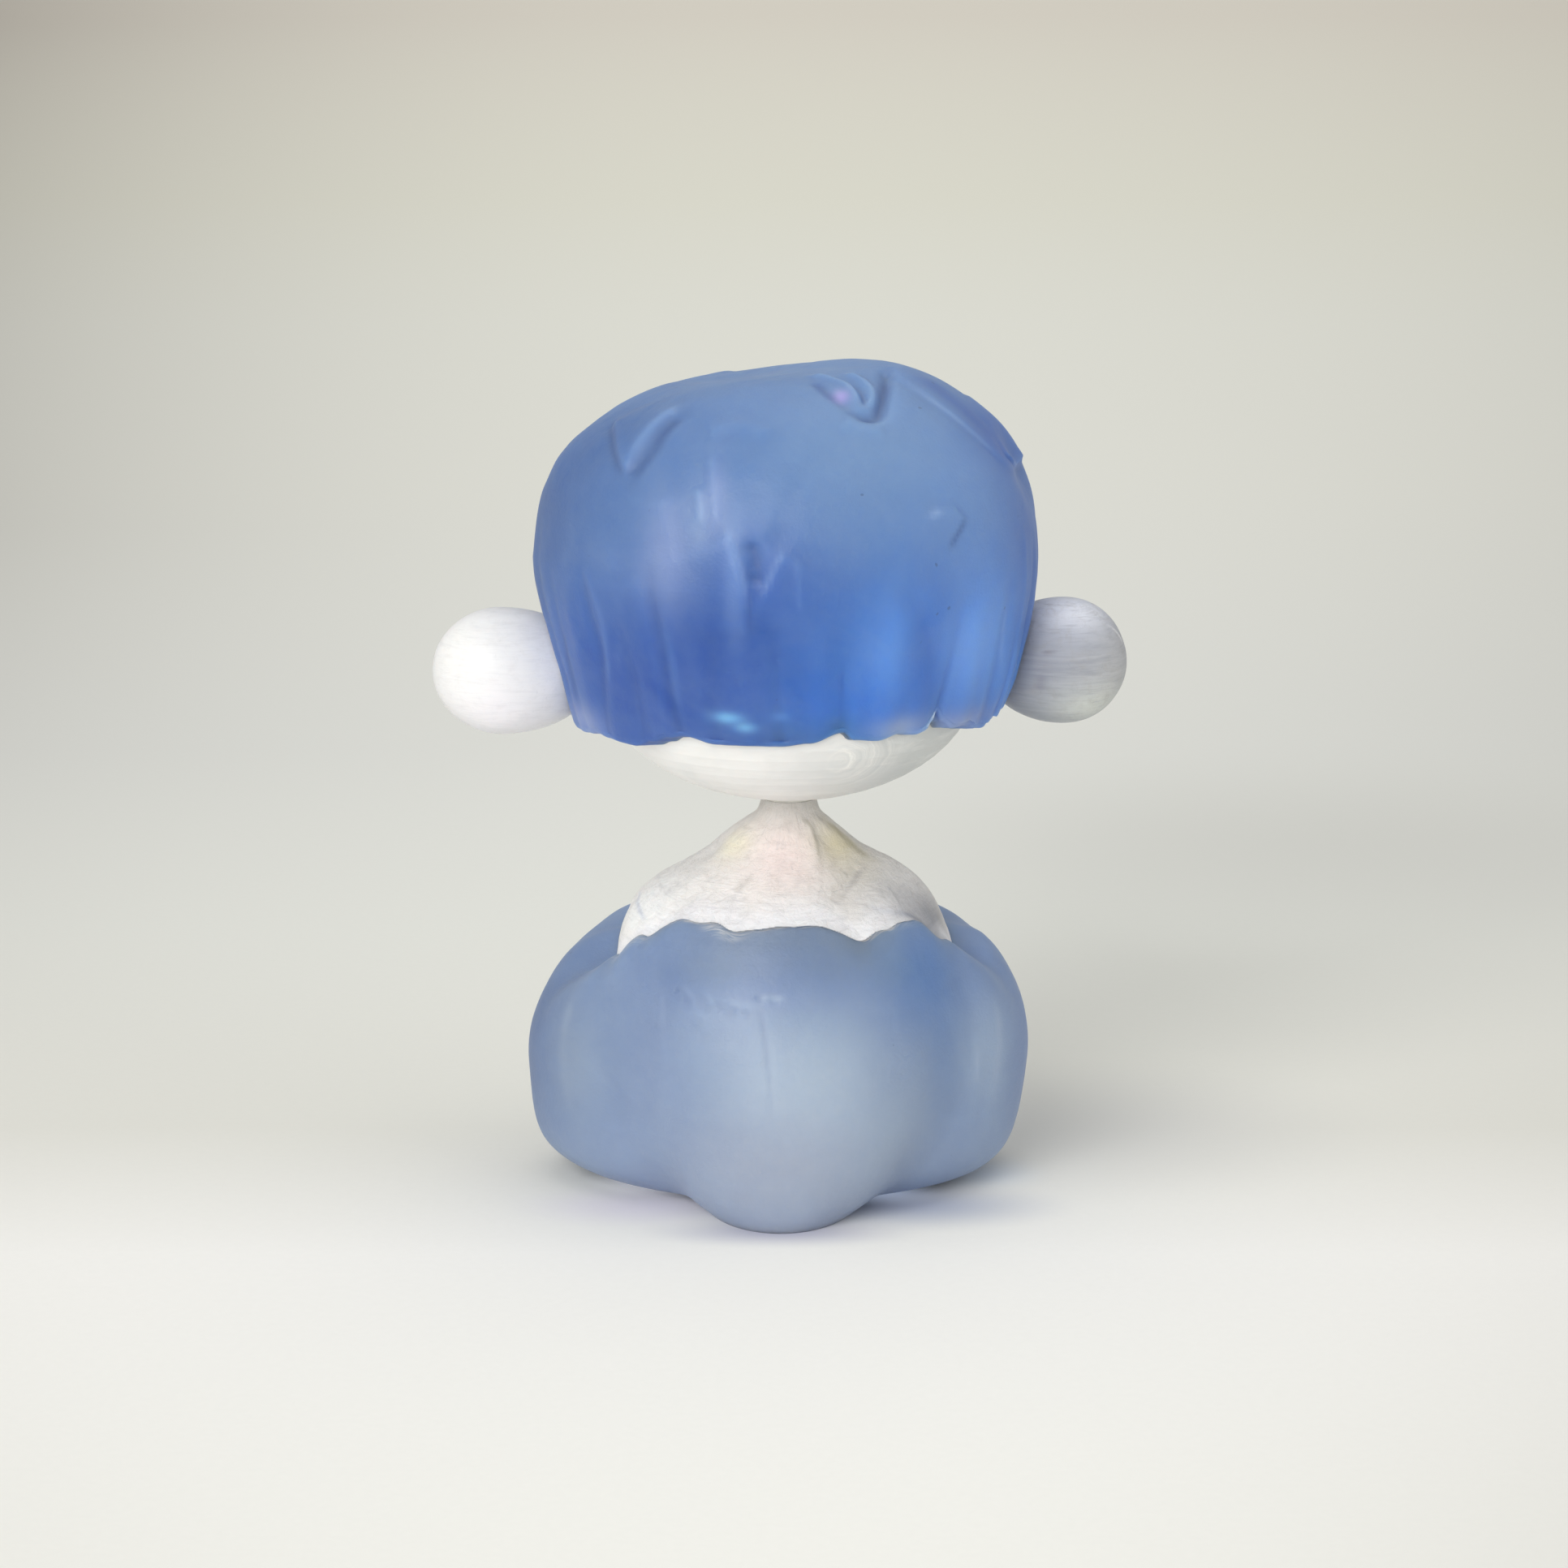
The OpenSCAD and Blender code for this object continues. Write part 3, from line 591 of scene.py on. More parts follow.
HAIR_TONE_AND_LIGHT = [
    # place, reach, colour, strength; painted light and shade of the translucent casting: lighter on
    # the crown and low on the right, where light comes through it, darker on the left, in recesses
    # and low on the fringe in front
    ((0, 0, 99), (60, 60, 9), (102, 135, 184), 0.85),
    ((0, -27, 86), (60, 30, 10), (101, 136, 184), 0.8),
    ((-22, -10, 92), (12, 12, 10), (68, 104, 160), 0.8),
    ((22, -16, 88), (12, 12, 12), (116, 150, 200), 0.7),
    ((8, -22, 93), (12, 14, 7), (116, 148, 188), 0.7),
    ((26, -4, 92.5), (6, 14, 5.5), (50, 92, 174), 0.8),
    ((-27, -10, 84), (7, 14, 12), (60, 92, 148), 0.8),
    ((29, -8, 74), (6, 14, 14), (80, 112, 184), 0.6),
    ((27.5, -9, 82), (5, 8, 8), (64, 102, 176), 0.6),
    ((-18, -22, 80), (10, 12, 9), (96, 126, 176), 0.6),
    ((-3, -27, 77), (7, 8, 7), (54, 100, 178), 0.8),
    ((0, -26, 66), (60, 40, 9), (42, 94, 176), 0.85),
    ((-18, -18, 64), (12, 14, 9), (32, 74, 156), 0.78),
    ((-9, -24, 70), (9, 10, 9), (42, 82, 160), 0.65),
    ((6, -25, 68), (7, 10, 9), (42, 108, 192), 0.7),
    ((12, -23, 68), (4.5, 10, 10), (92, 152, 232), 0.75),
    ((22, -16, 69), (6, 10, 10), (106, 160, 240), 0.85),
    ((15.5, -20, 66), (2.6, 8, 10), (44, 102, 192), 0.7),
    ((26, -6, 63), (3, 6, 5), (92, 144, 224), 0.6),
    ((8, -24, 62), (8, 10, 4), (50, 114, 212), 0.6),
    # painted highlights on the soft upright swellings of the fringe
    ((-13.9, -23.5, 81), (2.6, 4, 6), (142, 158, 202), 0.55),
    ((-10.2, -24.5, 85.5), (1.3, 3, 4), (148, 170, 206), 0.55),
    ((-8.2, -24, 88), (1.3, 3, 6), (146, 164, 206), 0.55),
    ((-6.2, -26, 79), (1.2, 2, 7), (128, 158, 206), 0.5),
    # a painted highlight in the hollow of the swirl
    ((5.9, -13.4, 97.3), (1.0, 1.5, 1.1), (178, 164, 226), 0.75),
    # a painted reflection: the cyan glint low on the fringe
    ((-7, -22.8, 61.8), (1.7, 2, 0.7), (120, 188, 246), 0.85),
    ((-5, -22.8, 60.7), (1.2, 2, 0.6), (120, 188, 246), 0.7),
    ((-1, -24, 62), (1, 2, 0.6), (90, 152, 232), 0.5),
    # painted light through the thin edge of the rim
    ((-24, -8, 58.6), (4.5, 5, 2.2), (132, 146, 194), 0.8),
    ((12.5, -19.5, 60), (3.6, 3, 1.5), (152, 168, 208), 0.75),
    ((20, -14, 59.4), (6, 6, 1.6), (134, 148, 190), 0.8),
    # light is bent away along the outline, which leaves it darker
    ((-31, 0, 76), (3.2, 12, 22), (46, 72, 126), 0.6),
    ((30, 0, 76), (2.8, 12, 20), (56, 88, 160), 0.55),
]
# Lines of painted shade and painted highlight on the hair: path, width, colour, strength
HAIR_SHADE_AND_HIGHLIGHT_LINES = [
    # the pointed lock: painted shade in its creases, a painted highlight on its right edge
    ([(-21, -4, 94), (-20.6, -9, 92.9), (-20.1, -13.2, 91.2),
      (-19.2, -16, 89.6)], 0.7, (58, 86, 142), 0.55),
    ([(-17.8, -17.8, 88.9), (-15.6, -16.9, 91.9), (-14.4, -15.2, 93.5),
      (-12.2, -13.8, 95.2)], 1.0, (50, 80, 140), 0.6),
    ([(-18, -16.2, 90.2), (-16.9, -15.1, 92), (-14.9, -13.2, 94.5),
      (-12, -11.2, 96.4)], 1.0, (136, 164, 204), 0.35),
    # the swirl: painted highlights on its two ridges, painted shade in the creases round them
    ([(2.6, -7, 98.8), (4.6, -8.4, 98.6), (6.4, -10, 98.2),
      (7.4, -12.4, 97.5)], 0.45, (158, 182, 222), 0.55),
    ([(7, -6.8, 98.7), (8.4, -8.8, 98.3), (9.5, -11.4, 97.4),
      (9.5, -13.6, 96.6)], 0.4, (158, 182, 222), 0.5),
    ([(11.1, -6, 98.2), (10.9, -10.6, 97.4), (10.6, -13.4, 96.6), (10, -16.1, 95.5),
      (8.6, -17, 95.5), (7.2, -16.7, 95.9)], 0.75, (52, 82, 148), 0.6),
    ([(3, -9.4, 98.4), (3.8, -12, 97.8), (5.2, -14.8, 96.8)], 0.8, (64, 92, 160), 0.45),
    # a painted highlight on the lip of the crown's layer, and painted shade in deep blue over the
    # layer itself
    ([(13, -6, 97.9), (16, -9, 96.5), (20.8, -10.3, 93.5), (24.7, -9.5, 90)], 0.5, (140, 166,
      206), 0.45),
    ([(14.4, -2.6, 98), (18, -5, 96.4), (22.2, -6, 93.8), (26.4, -5, 90.4)], 2.4, (52, 94, 172),
      0.65),
    # the parted locks: painted highlights on their edges, painted shade in the recess between them
    ([(-4.9, -26.6, 75.5), (-5.2, -26.6, 78.5), (-6.1, -26.2, 81.6),
      (-7.2, -25.3, 84.8)], 0.45, (146, 172, 214), 0.45),
    ([(-4.7, -26.3, 82.8), (-3.9, -26.6, 81.2), (-3.9, -26.7, 79.6),
      (-3.9, -26.7, 77.8)], 0.8, (54, 92, 156), 0.6),
    ([(-0.6, -26.8, 82), (-1.6, -26.9, 79.8), (-2.9, -26.9, 77)], 0.35, (112, 146, 198), 0.5),
    ([(-3.4, -26.2, 76), (-2.6, -25.7, 72), (-1.2, -25.2, 68)], 1.6, (36, 86, 166), 0.5),
    # painted shade in the valley and a painted highlight at the mark on the right of the forehead
    ([(20.1, -18.8, 84.2), (19.3, -19.9, 82.8), (18, -21, 81)], 0.4, (64, 96, 154), 0.6),
    ([(15.8, -21.9, 84.8), (17.3, -20.9, 85.4)], 0.5, (150, 176, 216), 0.5),
    # painted highlights along fine lines down the sides, and painted shade in a fold low on the
    # left
    ([(-23.3, -15.8, 79), (-22.1, -17.5, 75), (-21.3, -17.6, 71.3),
      (-21, -15.8, 64)], 0.5, (104, 134, 186), 0.3),
    ([(-14.4, -22.9, 72.8), (-13.4, -22.2, 67.8), (-12.8, -20.9, 62)], 0.7, (84, 124, 190), 0.3),
    ([(1, -26.9, 80.6), (1.2, -26.9, 75)], 0.3, (118, 150, 202), 0.4),
    ([(25, -12, 75), (24.8, -11.6, 70), (24.2, -9.5, 63)], 0.3, (140, 172, 226), 0.45),
    ([(-26, -9.6, 70), (-25.8, -8.6, 66), (-25.2, -7.6, 60)], 0.7, (40, 66, 128), 0.45),
    # painted shade, dark blue, where the rim rolls under
    ([(-21, -13, 57.8), (-12, -19.6, 58.4), (-3, -22, 59), (6, -21.6, 59.2)], 0.8, (34, 70, 140),
      0.5),
]


def head_radius(z):
    """The head's own radius, with the gap between it and the hair."""
    depth = np.where(z < HEAD_MID, CHIN_DROP, SKULL_RISE) + HAIR_GAP
    return (HEAD_R + HAIR_GAP) * np.sqrt(np.maximum(1 - ((z - HEAD_MID) / depth) ** 2, 0))


def hair_ring(a, inset, z):
    return oval(a, HAIR_CX, HAIR_CY, HAIR_W / 2 - inset, HAIR_D / 2 - inset, z)


def hair_rows():
    a = circle()
    rim = around(RIM_LINE, np.degrees(a))
    theta = np.radians(np.concatenate([[0.05, 0.3, 0.8], np.linspace(1.5, 90, 240)]))
    reach, rise = np.sin(theta) ** (2 / CROWN_POWER), np.cos(theta) ** (2 / CROWN_POWER)
    rows = []
    for wide, high in spread(np.stack([reach * HAIR_W / 2, rise * HAIR_RISE], 1), 92):
        s = max(wide, 0.02) / (HAIR_W / 2)
        rows.append(oval(a, HAIR_CX + CROWN_SHIFT * high / HAIR_RISE, HAIR_CY,
                         HAIR_W / 2 * s, HAIR_D / 2 * s, HAIR_MID + high))
    for t in np.linspace(0, 1, 60)[1:]:
        rows.append(hair_ring(a, HAIR_TUCK * t ** 1.3, HAIR_MID + (rim + RIM_ROUND - HAIR_MID) * t))
    outer = len(rows)
    for phi in np.radians(np.linspace(-4, 90, 9)[1:]):
        rows.append(hair_ring(a, HAIR_TUCK + RIM_ROUND * (1 - np.cos(phi)),
                              rim + RIM_ROUND * (1 - np.sin(phi))))
    edge = rows[-1]
    level = edge[:, 2]
    inner_edge = polar(head_radius(level), a, level)
    for t in (0.25, 0.5, 0.75, 0.95, 1.0):
        rows.append(edge * (1 - t) + inner_edge * t)
    top = HEAD_MID + SKULL_RISE + HAIR_GAP
    for t in np.linspace(0, 1, 34)[1:-1]:
        z = level + (top - level) * np.sin(t * np.pi / 2)
        rows.append(polar(head_radius(z), a, z))
    return np.array(rows), outer, (0, 0, top)


def make_hair():
    rows, outer, roof = hair_rows()
    skin = outer + 9
    p = rows[:skin]
    n = grid_normals(p)
    move = worked(p, n, HAIR_WAVES, HAIR_RIDGES, HAIR_DENTS, HAIR_LOCKS)
    for places, height, width in HAIR_FOLDS:
        move = move + fold(p, places, height, width)
    for place in BUBBLES:
        move = move + dent(p, place, 0.2, 0.45) - dent(p, place, 0.12, 0.9)
    move = np.minimum(move, 1.4)
    move[outer:] *= 0.3
    rows = np.concatenate([p + n * move[..., None], rows[skin:]])
    for side, ear in EARS.items():
        rows = carve_ear(rows, side, ear)
    hair, verts = make_piece("hair", rows, [rows[0].mean(axis=0), roof])
    a = np.arctan2(verts[:, 1], verts[:, 0])
    dress(hair, paint(verts, (74, 110, 172), HAIR_TONE_AND_LIGHT, HAIR_SHADE_AND_HIGHLIGHT_LINES),
          (np.cos(a) * 9, np.sin(a) * 9, verts[:, 2] * 0.06), np.zeros((len(verts), 3)))
    return hair


def carve_ear(rows, side, ear):
    """Presses the recess that an ear turns in into the hair, along the ear's own axis."""
    x, y, z = rows[..., 0] * side, rows[..., 1], rows[..., 2]
    r = np.hypot(y - EAR_Y, z - ear["z"]) / (EAR_R + EAR_GAP)
    inside = (r < 1) & (x > 20)
    floor = ear["mid"] - (ear["in"] + EAR_GAP) * np.sqrt(np.maximum(1 - r ** 2, 0))
    floor = np.maximum(floor, EAR_SEAT - 0.2)
    new = np.where(inside & (x > floor), floor, x)
    out = rows.copy()
    out[..., 0] = new * side
    return out


# ---- Body ----

BODY_WAVES = [(0.22, 12, 11), (0.07, 5, 12), (0.02, 1.9, 13)]
# Colour spots on the body: place, reach, colour, strength. Most are painted light and shade of the
# translucent casting: lighter where light comes through the belly, low all round and on the fronts
# of the sleeves, darker beside the collar and over the sleeves; those on the back make it lighter
# and darker in patches
BODY_TONE_AND_LIGHT = [
    ((2.5, -25, 18.5), (13, 12, 9.5), (176, 190, 205), 0.85),
    ((0, -24, 6), (15, 12, 9), (174, 178, 190), 0.75),
    ((0, -24, 4), (60, 60, 6), (150, 162, 182), 0.5),
    ((12, -20, 13), (6, 8, 7), (166, 180, 196), 0.6),
    ((-9, -21, 25), (5, 6, 5), (158, 173, 196), 0.6),
    ((-13.8, -16, 29.5), (5.5, 6, 4.5), (96, 120, 168), 0.65),
    ((-16, -15.5, 17), (4.5, 8, 12), (130, 147, 180), 0.6),
    ((-26, -6, 17), (4.5, 8, 8), (150, 164, 180), 0.75),
    ((-30, 2, 16), (5, 14, 14), (92, 112, 150), 0.8),
    ((0, -20, 32), (14, 9, 4), (116, 138, 186), 0.7),
    ((16, -13, 27.5), (7.5, 7, 7), (78, 120, 180), 0.9),
    ((18.5, -12, 20), (4, 6, 8), (98, 130, 180), 0.7),
    ((14, -18, 18), (6, 8, 8), (132, 150, 180), 0.5),
    ((24, -7, 18), (4.5, 8, 9), (156, 172, 192), 0.75),
    ((30, 2, 16), (4, 12, 14), (106, 130, 178), 0.75),
    ((-24, 0, 28), (9, 12, 6), (104, 126, 164), 0.6),
    ((24, 0, 28), (9, 12, 6), (108, 132, 176), 0.6),
    ((0, 23, 16), (30, 8, 16), (126, 146, 182), 0.5),
    ((-12, 23, 21), (11, 7, 6), (142, 160, 190), 0.5),
    ((15, 22, 12), (10, 8, 8), (108, 130, 172), 0.5),
    # light is bent away along the outline, which leaves it darker
    ((-33, 3.5, 16), (3.2, 10, 18), (70, 92, 136), 0.65),
    ((31.5, 3.5, 16), (2.8, 10, 16), (78, 104, 156), 0.6),
]
# A fine scratch, the creases beside the sleeves, and strokes of the brush under the collar
BODY_RIDGES = [
    ([(-3.2, -21.5, 28.1), (-2.6, -23.6, 22.1), (-1.9, -24.7, 15)], -0.07, 0.35),
    ([(-20.5, -9, 28), (-21.5, -10.5, 20), (-20.5, -12, 9)], -0.3, 2.6),
    ([(-24.5, -3, 29), (-27, -4, 26), (-28.5, -6, 20)], -0.18, 0.9),
    ([(22.5, -6.5, 22), (23.6, -7.5, 17), (22.6, -9, 8)], -0.1, 0.8),
    ([(20.5, -10, 29), (22, -10, 20), (21, -12, 10)], -0.4, 3.0),
    ([(-10.5, -19, 27.5), (-8, -20.3, 27), (-6.5, -21.4, 25.5)], -0.1, 0.5),
    ([(-12, -18, 25.5), (-9.2, -20.6, 25.6)], 0.1, 0.6),
]
# Small pits
BODY_PITS = [(-6.3, -21.3, 26.6), (-4.8, -21.9, 26.4), (-12.6, -17.4, 28), (-11.6, -18.5, 27),
             (-3, -21.4, 28.3), (-1.4, -21.7, 28.2), (-9.5, -20, 26.8)]
# Swellings and hollows that bring the outline to the casting's own
BODY_DENTS = [
    ((28.4, 2, 7), -0.9, 6), ((23.2, 2, 29.5), 1.0, 5), ((-31, 3, 16), 0.45, 6),
    ((-16, -14.6, 3), -0.5, 4), ((-26.4, 3, 4.5), 0.3, 4),
]
# Scuffs and fine scratches, brush marks under the collar, and lighter bands down the belly and
# sleeves: path, width, colour, strength
BODY_STREAKS = [
    ([(-7.2, -20.4, 28), (-5.4, -21.2, 27.4), (-3.4, -21.6, 27.2)], 0.5, (164, 180, 206), 0.35),
    ([(-3.4, -21.4, 28.4), (-2, -21.6, 28.3), (-0.6, -21.6, 28.3)], 0.35, (176, 190, 212), 0.4),
    ([(-9.6, -19.6, 28.4), (-8.6, -20.2, 27)], 0.4, (156, 174, 204), 0.3),
    ([(-12.8, -17.6, 29), (-11.2, -18.6, 27.6), (-10.6, -19.2, 25.8)], 0.35, (144, 162, 196),
      0.35),
    ([(-3.2, -21.5, 28.1), (-2.6, -23.6, 22.1), (-1.9, -24.7, 15)], 0.25, (134, 148, 178), 0.3),
    ([(-15, -16, 28), (-14.6, -17, 22), (-13.4, -18, 16)], 0.6, (142, 158, 190), 0.3),
    ([(11.4, -18, 26.4), (12.6, -18.2, 22), (12.2, -19, 17)], 0.5, (150, 168, 196), 0.3),
    ([(24.8, -6, 24), (25.2, -6.2, 19), (24.6, -7, 13)], 0.6, (170, 182, 200), 0.3),
    ([(21.4, -8.4, 21), (22.4, -8.6, 17.6), (22.2, -8.8, 14)], 0.3, (172, 184, 202), 0.35),
    ([(-26, -5.6, 24), (-26.6, -6, 18), (-25.8, -7, 11)], 0.8, (160, 172, 188), 0.35),
]
# The fingerprint: where its middle is, how far it spreads, and how far apart its ridges are
PRINT_MID, PRINT_SIZE, PRINT_STEP = (13.9, -18.4, 19.6), 4.5, 0.55
# Where white paint laps over the collar: angle, width, amount
LAPS = [(246, 8, 1.0), (206, 9, 0.7), (320, 14, 0.25)]


def body_radius(a, z, edge):
    """The body's outline at a height: the belly, joined softly to the two sleeves."""
    wide = oval_reach(a, BODY_CX, BODY_CY, BODY_W / 2, SLEEVE_D / 2)
    top = SHOULDER_R - 2
    up = np.clip((z - SLEEVE_MID) / (edge - SLEEVE_MID), 0, 1)
    down = np.clip((SLEEVE_MID - z) / (SLEEVE_MID + 0.4), 0, 1)
    upper = top + (wide - top) * np.maximum(1 - up ** SLEEVE_ROUND, 0) ** (1 / SLEEVE_ROUND)
    lower = wide * np.maximum(1 - down ** FOOT_ROUND, 0) ** (1 / FOOT_ROUND)
    half, reach, back = (np.interp(z, BELLY[:, 0], BELLY[:, k]) for k in (1, 2, 3))
    lap = 0.6 - 0.46 * smoothstep((z - edge + 3.5) / 3.5)
    join = smoothstep((z - 28.5) / 5.5)
    foot = FOOT_CX * np.maximum(1 - z / FOOT_H, 0)
    belly = oval_reach(a, foot, -back, half, reach - back)
    belly = (1 - join) * belly + join * (bust_radius(z) + lap)
    return soft_max(belly, np.where(z > SLEEVE_MID, upper, lower), 3)


def collar_edge(a):
    line = around(COLLAR_LINE, np.degrees(a) % 360)
    return line + 0.16 * np.sin(a * 23) * np.sin(a * 7 + 1)


def make_body():
    a = circle()
    edge = collar_edge(a)
    heights = [edge * (1 + math.cos(t * math.pi)) / 2 for t in np.linspace(0, 1, 150)]
    p = np.array([polar(body_radius(a, z, edge), a, z) for z in heights])
    n = grid_normals(p)
    pits = [(place, -0.14, 0.5) for place in BODY_PITS]
    move = worked(p, n, BODY_WAVES, BODY_RIDGES, BODY_DENTS + pits)
    calm = smoothstep(p[..., 2] / 2.5) * smoothstep((edge - p[..., 2]) / 2.0)
    p = p + n * (move * calm)[..., None]
    # from the collar down the outside, then across the base and back up inside
    cavity = spread(BUST_OUTLINE[BUST_OUTLINE[:, 1] < 26], 40)
    foot = np.hypot(p[-1][:, 0], p[-1][:, 1])
    pad = PAD_R + 0.1
    under = [polar(pad * (1 - t) + foot * t, a, 0.0) for t in (0.97, 0.8, 0.4)]
    under += [polar(r, a, z) for r, z in (
        (pad, 0.0), (PAD_R, 0.1), (PAD_R, PAD_T - 0.1), (PAD_R - 0.1, PAD_T),
        (POCKET_R + 0.1, PAD_T), (POCKET_R, PAD_T + 0.1), (POCKET_R, CORE_LOW))]
    under += [polar(r + 0.02, a, z) for r, z in cavity[:0:-1]]
    for t in np.linspace(1, 0.1, 8):
        z = (edge - 0.3) * (1 - t) + cavity[0, 1] * t
        under.append(polar(bust_radius(z) + 0.02, a, z))
    under += [polar(bust_radius(edge - 0.3) + 0.02, a, edge - 0.3),
              polar(bust_radius(edge) + 0.03, a, edge + 0.06)]
    body, verts = make_piece("body", lean(np.array(list(p) + under)))

    ang = np.arctan2(verts[:, 1], verts[:, 0])
    turn = np.degrees(ang) % 360
    below = collar_edge(ang) - verts[:, 2]
    spot = sum(amount * bell(turn - at, width) for at, width, amount in LAPS)
    lapped = 0.7 * np.clip(1.15 - below / (0.5 + 1.1 * spot), 0, 1) * np.clip(spot, 0, 1)
    front = smoothstep((50 - np.abs(turn - 270)) / 12)
    marks = np.zeros((len(verts), 3))
    marks[:, 0] = np.maximum(lapped, 0.6 * front * bell(below, 0.2))
    d = np.linalg.norm(verts - np.array(PRINT_MID), axis=1) + 0.35 * noise(verts, 2.2, 21)
    marks[:, 1] = (0.5 + 0.5 * np.cos(d * 2 * np.pi / PRINT_STEP)) * np.sqrt(
        np.clip(1 - d / PRINT_SIZE, 0, 1))
    dress(body, paint(verts, (122, 142, 176), BODY_TONE_AND_LIGHT, BODY_STREAKS),
          (turn * 0.045, below * 1.5 + turn * 0.05, 0 * turn), marks)
    return body


# ---- Bust ----

BUST_WAVES = [(0.17, 5.2, 31), (0.08, 2.3, 32), (0.02, 1.0, 33)]
# Colour spots on the bust: place, reach, colour, strength: pink and yellow tints of the paint, and
# painted light and shade
BUST_TINTS_AND_LIGHT = [
    ((-1, -8, 41), (5.5, 6, 5), (240, 220, 217), 0.85),
    # painted light on the left, which faces the key
    ((-8, -10, 38), (6, 6, 5), (246, 241, 238), 0.6),
    # yellow tints of the paint
    ((6, -4.4, 42.5), (3.2, 4, 3), (214, 204, 168), 0.85),
    ((8, -6, 39.5), (3.5, 5, 2.6), (206, 199, 184), 0.6),
    ((-6.5, -4.6, 42.6), (2.4, 3, 2.4), (232, 226, 196), 0.65),
    # a painted shadow under the chin, at the top of the neck
    ((0, 0, 47.2), (5, 5, 1.6), (178, 175, 170), 0.7),
    # painted shade down the right shoulder, darkest at its end by the collar
    ((14, -9, 36), (6, 7, 4), (170, 170, 176), 0.7),
    ((17.6, -7, 33.2), (4.5, 6, 3.4), (56, 66, 94), 0.75),
    # painted light on the left shoulder
    ((-17, -6, 35), (6, 7, 4), (252, 254, 255), 0.9),
]
# The right shoulder stands out further than the left; the neck's left foot is hollow
BUST_DENTS = [
    ((13.6, -1, 40), 1.35, 4.4), ((-9, -1, 41.6), -0.7, 2.4), ((10.5, -7, 38.6), 0.35, 3.5),
]
# Ridges and hollows left by the brush and by the fingers that shaped the bust
BUST_RIDGES = [
    ([(1.3, -3.5, 45.9), (2.7, -5, 44.3), (3.1, -6.4, 43.1), (3.4, -8.1, 41.6),
      (4, -10.5, 39.6)], 0.22, 0.9),
    ([(3.6, -4, 44.6), (5.2, -5, 43), (6.4, -6.4, 41.4), (7, -8.4, 40)], -0.35, 1.6),
    ([(5, -2.2, 44.4), (7.4, -2.6, 42.8), (9.6, -3.8, 40.8)], 0.18, 1.2),
    ([(8.9, -5.6, 40.3), (7.6, -8.9, 39.4), (6.9, -10.5, 38.9), (5.6, -13.2, 37.8)], -0.4, 0.9),
    ([(9.6, -9, 38.8), (11.6, -9.6, 37.9), (13.4, -8.6, 37.4)], 0.3, 1.9),
    ([(4.1, -12.2, 38.6), (5.4, -12.2, 38.2)], -0.18, 1.2),
    ([(-1.2, -6.6, 43.4), (-1.6, -8.6, 41.7), (-1.2, -10.4, 40.2)], 0.25, 2.0),
    ([(-4, -9.7, 40.2), (-5.2, -10.8, 39.2), (-6.4, -12.1, 38.2)], -0.2, 1.0),
    ([(-9, -7, 40.2), (-12, -7.6, 38.6), (-14.6, -7, 37.4)], 0.22, 2.2),
    ([(-17.8, 1, 35.4), (-18, -4, 34.9), (-17, -7.6, 34.3)], -0.12, 0.6),
    ([(-4.6, -3, 44.6), (-6.8, -4, 43), (-8.4, -5, 41.8)], 0.2, 1.4),
    ([(12.4, 6, 38.6), (8, 9, 39.6), (2, 10.5, 40)], -0.2, 1.6),
    ([(-10, 8, 39.6), (-6, 6, 42), (-3, 3.6, 44.6)], 0.22, 1.4),
]
# Lines of colour on the bust: path, width, colour, strength: olive lines of the paint, painted
# shade in grooves, and a painted shadow along the collar on the right
BUST_TINT_AND_SHADE_LINES = [
    # an olive line of the paint
    ([(1.4, -3.6, 45.9), (3, -4.8, 44.4), (3.4, -6.4, 43.1),
      (3.7, -8.2, 41.5)], 0.35, (164, 158, 140), 0.5),
    # painted shade in a groove down the right of the chest
    ([(8.9, -5.6, 40.3), (7.6, -8.9, 39.4), (6.9, -10.5, 38.9),
      (5.6, -13.2, 37.8)], 0.5, (150, 147, 150), 0.6),
    # painted shade in a groove on the left shoulder
    ([(-17.8, 1, 35.4), (-18, -4, 34.9), (-17, -7.6, 34.3),
      (-16, -9, 34.6)], 0.35, (186, 194, 214), 0.6),
    # painted shade in a groove on the left of the chest
    ([(-4, -9.7, 40.2), (-5.2, -10.8, 39.2), (-6.4, -12.1, 38.2)], 0.5, (196, 189, 184), 0.5),
    # a painted shadow along the collar on the right, darkest at its end
    ([(12.6, -11.6, 36.4), (15, -10, 35), (17.2, -8, 33.4),
      (18.9, -5.6, 31.4)], 0.6, (70, 80, 108), 0.75),
    ([(13.6, -12, 35), (15.4, -11, 34.2), (17.4, -9, 32.6)], 0.35, (78, 88, 116), 0.6),
    ([(9.2, -12.6, 37.3), (11.6, -12.2, 36.4), (14, -10.6, 35.5)], 0.5, (150, 156, 172), 0.5),
    # an olive line of the paint down the right of the neck
    ([(4.2, -2, 45.2), (5.8, -2.4, 44), (7.8, -3, 42.4), (10, -3.6, 40.6)], 0.8, (150, 141, 104),
      0.6),
    # painted shade in a short groove low in front
    ([(4.8, -11.8, 38.9), (7, -11.6, 38.4)], 0.9, (188, 184, 176), 0.5),
]


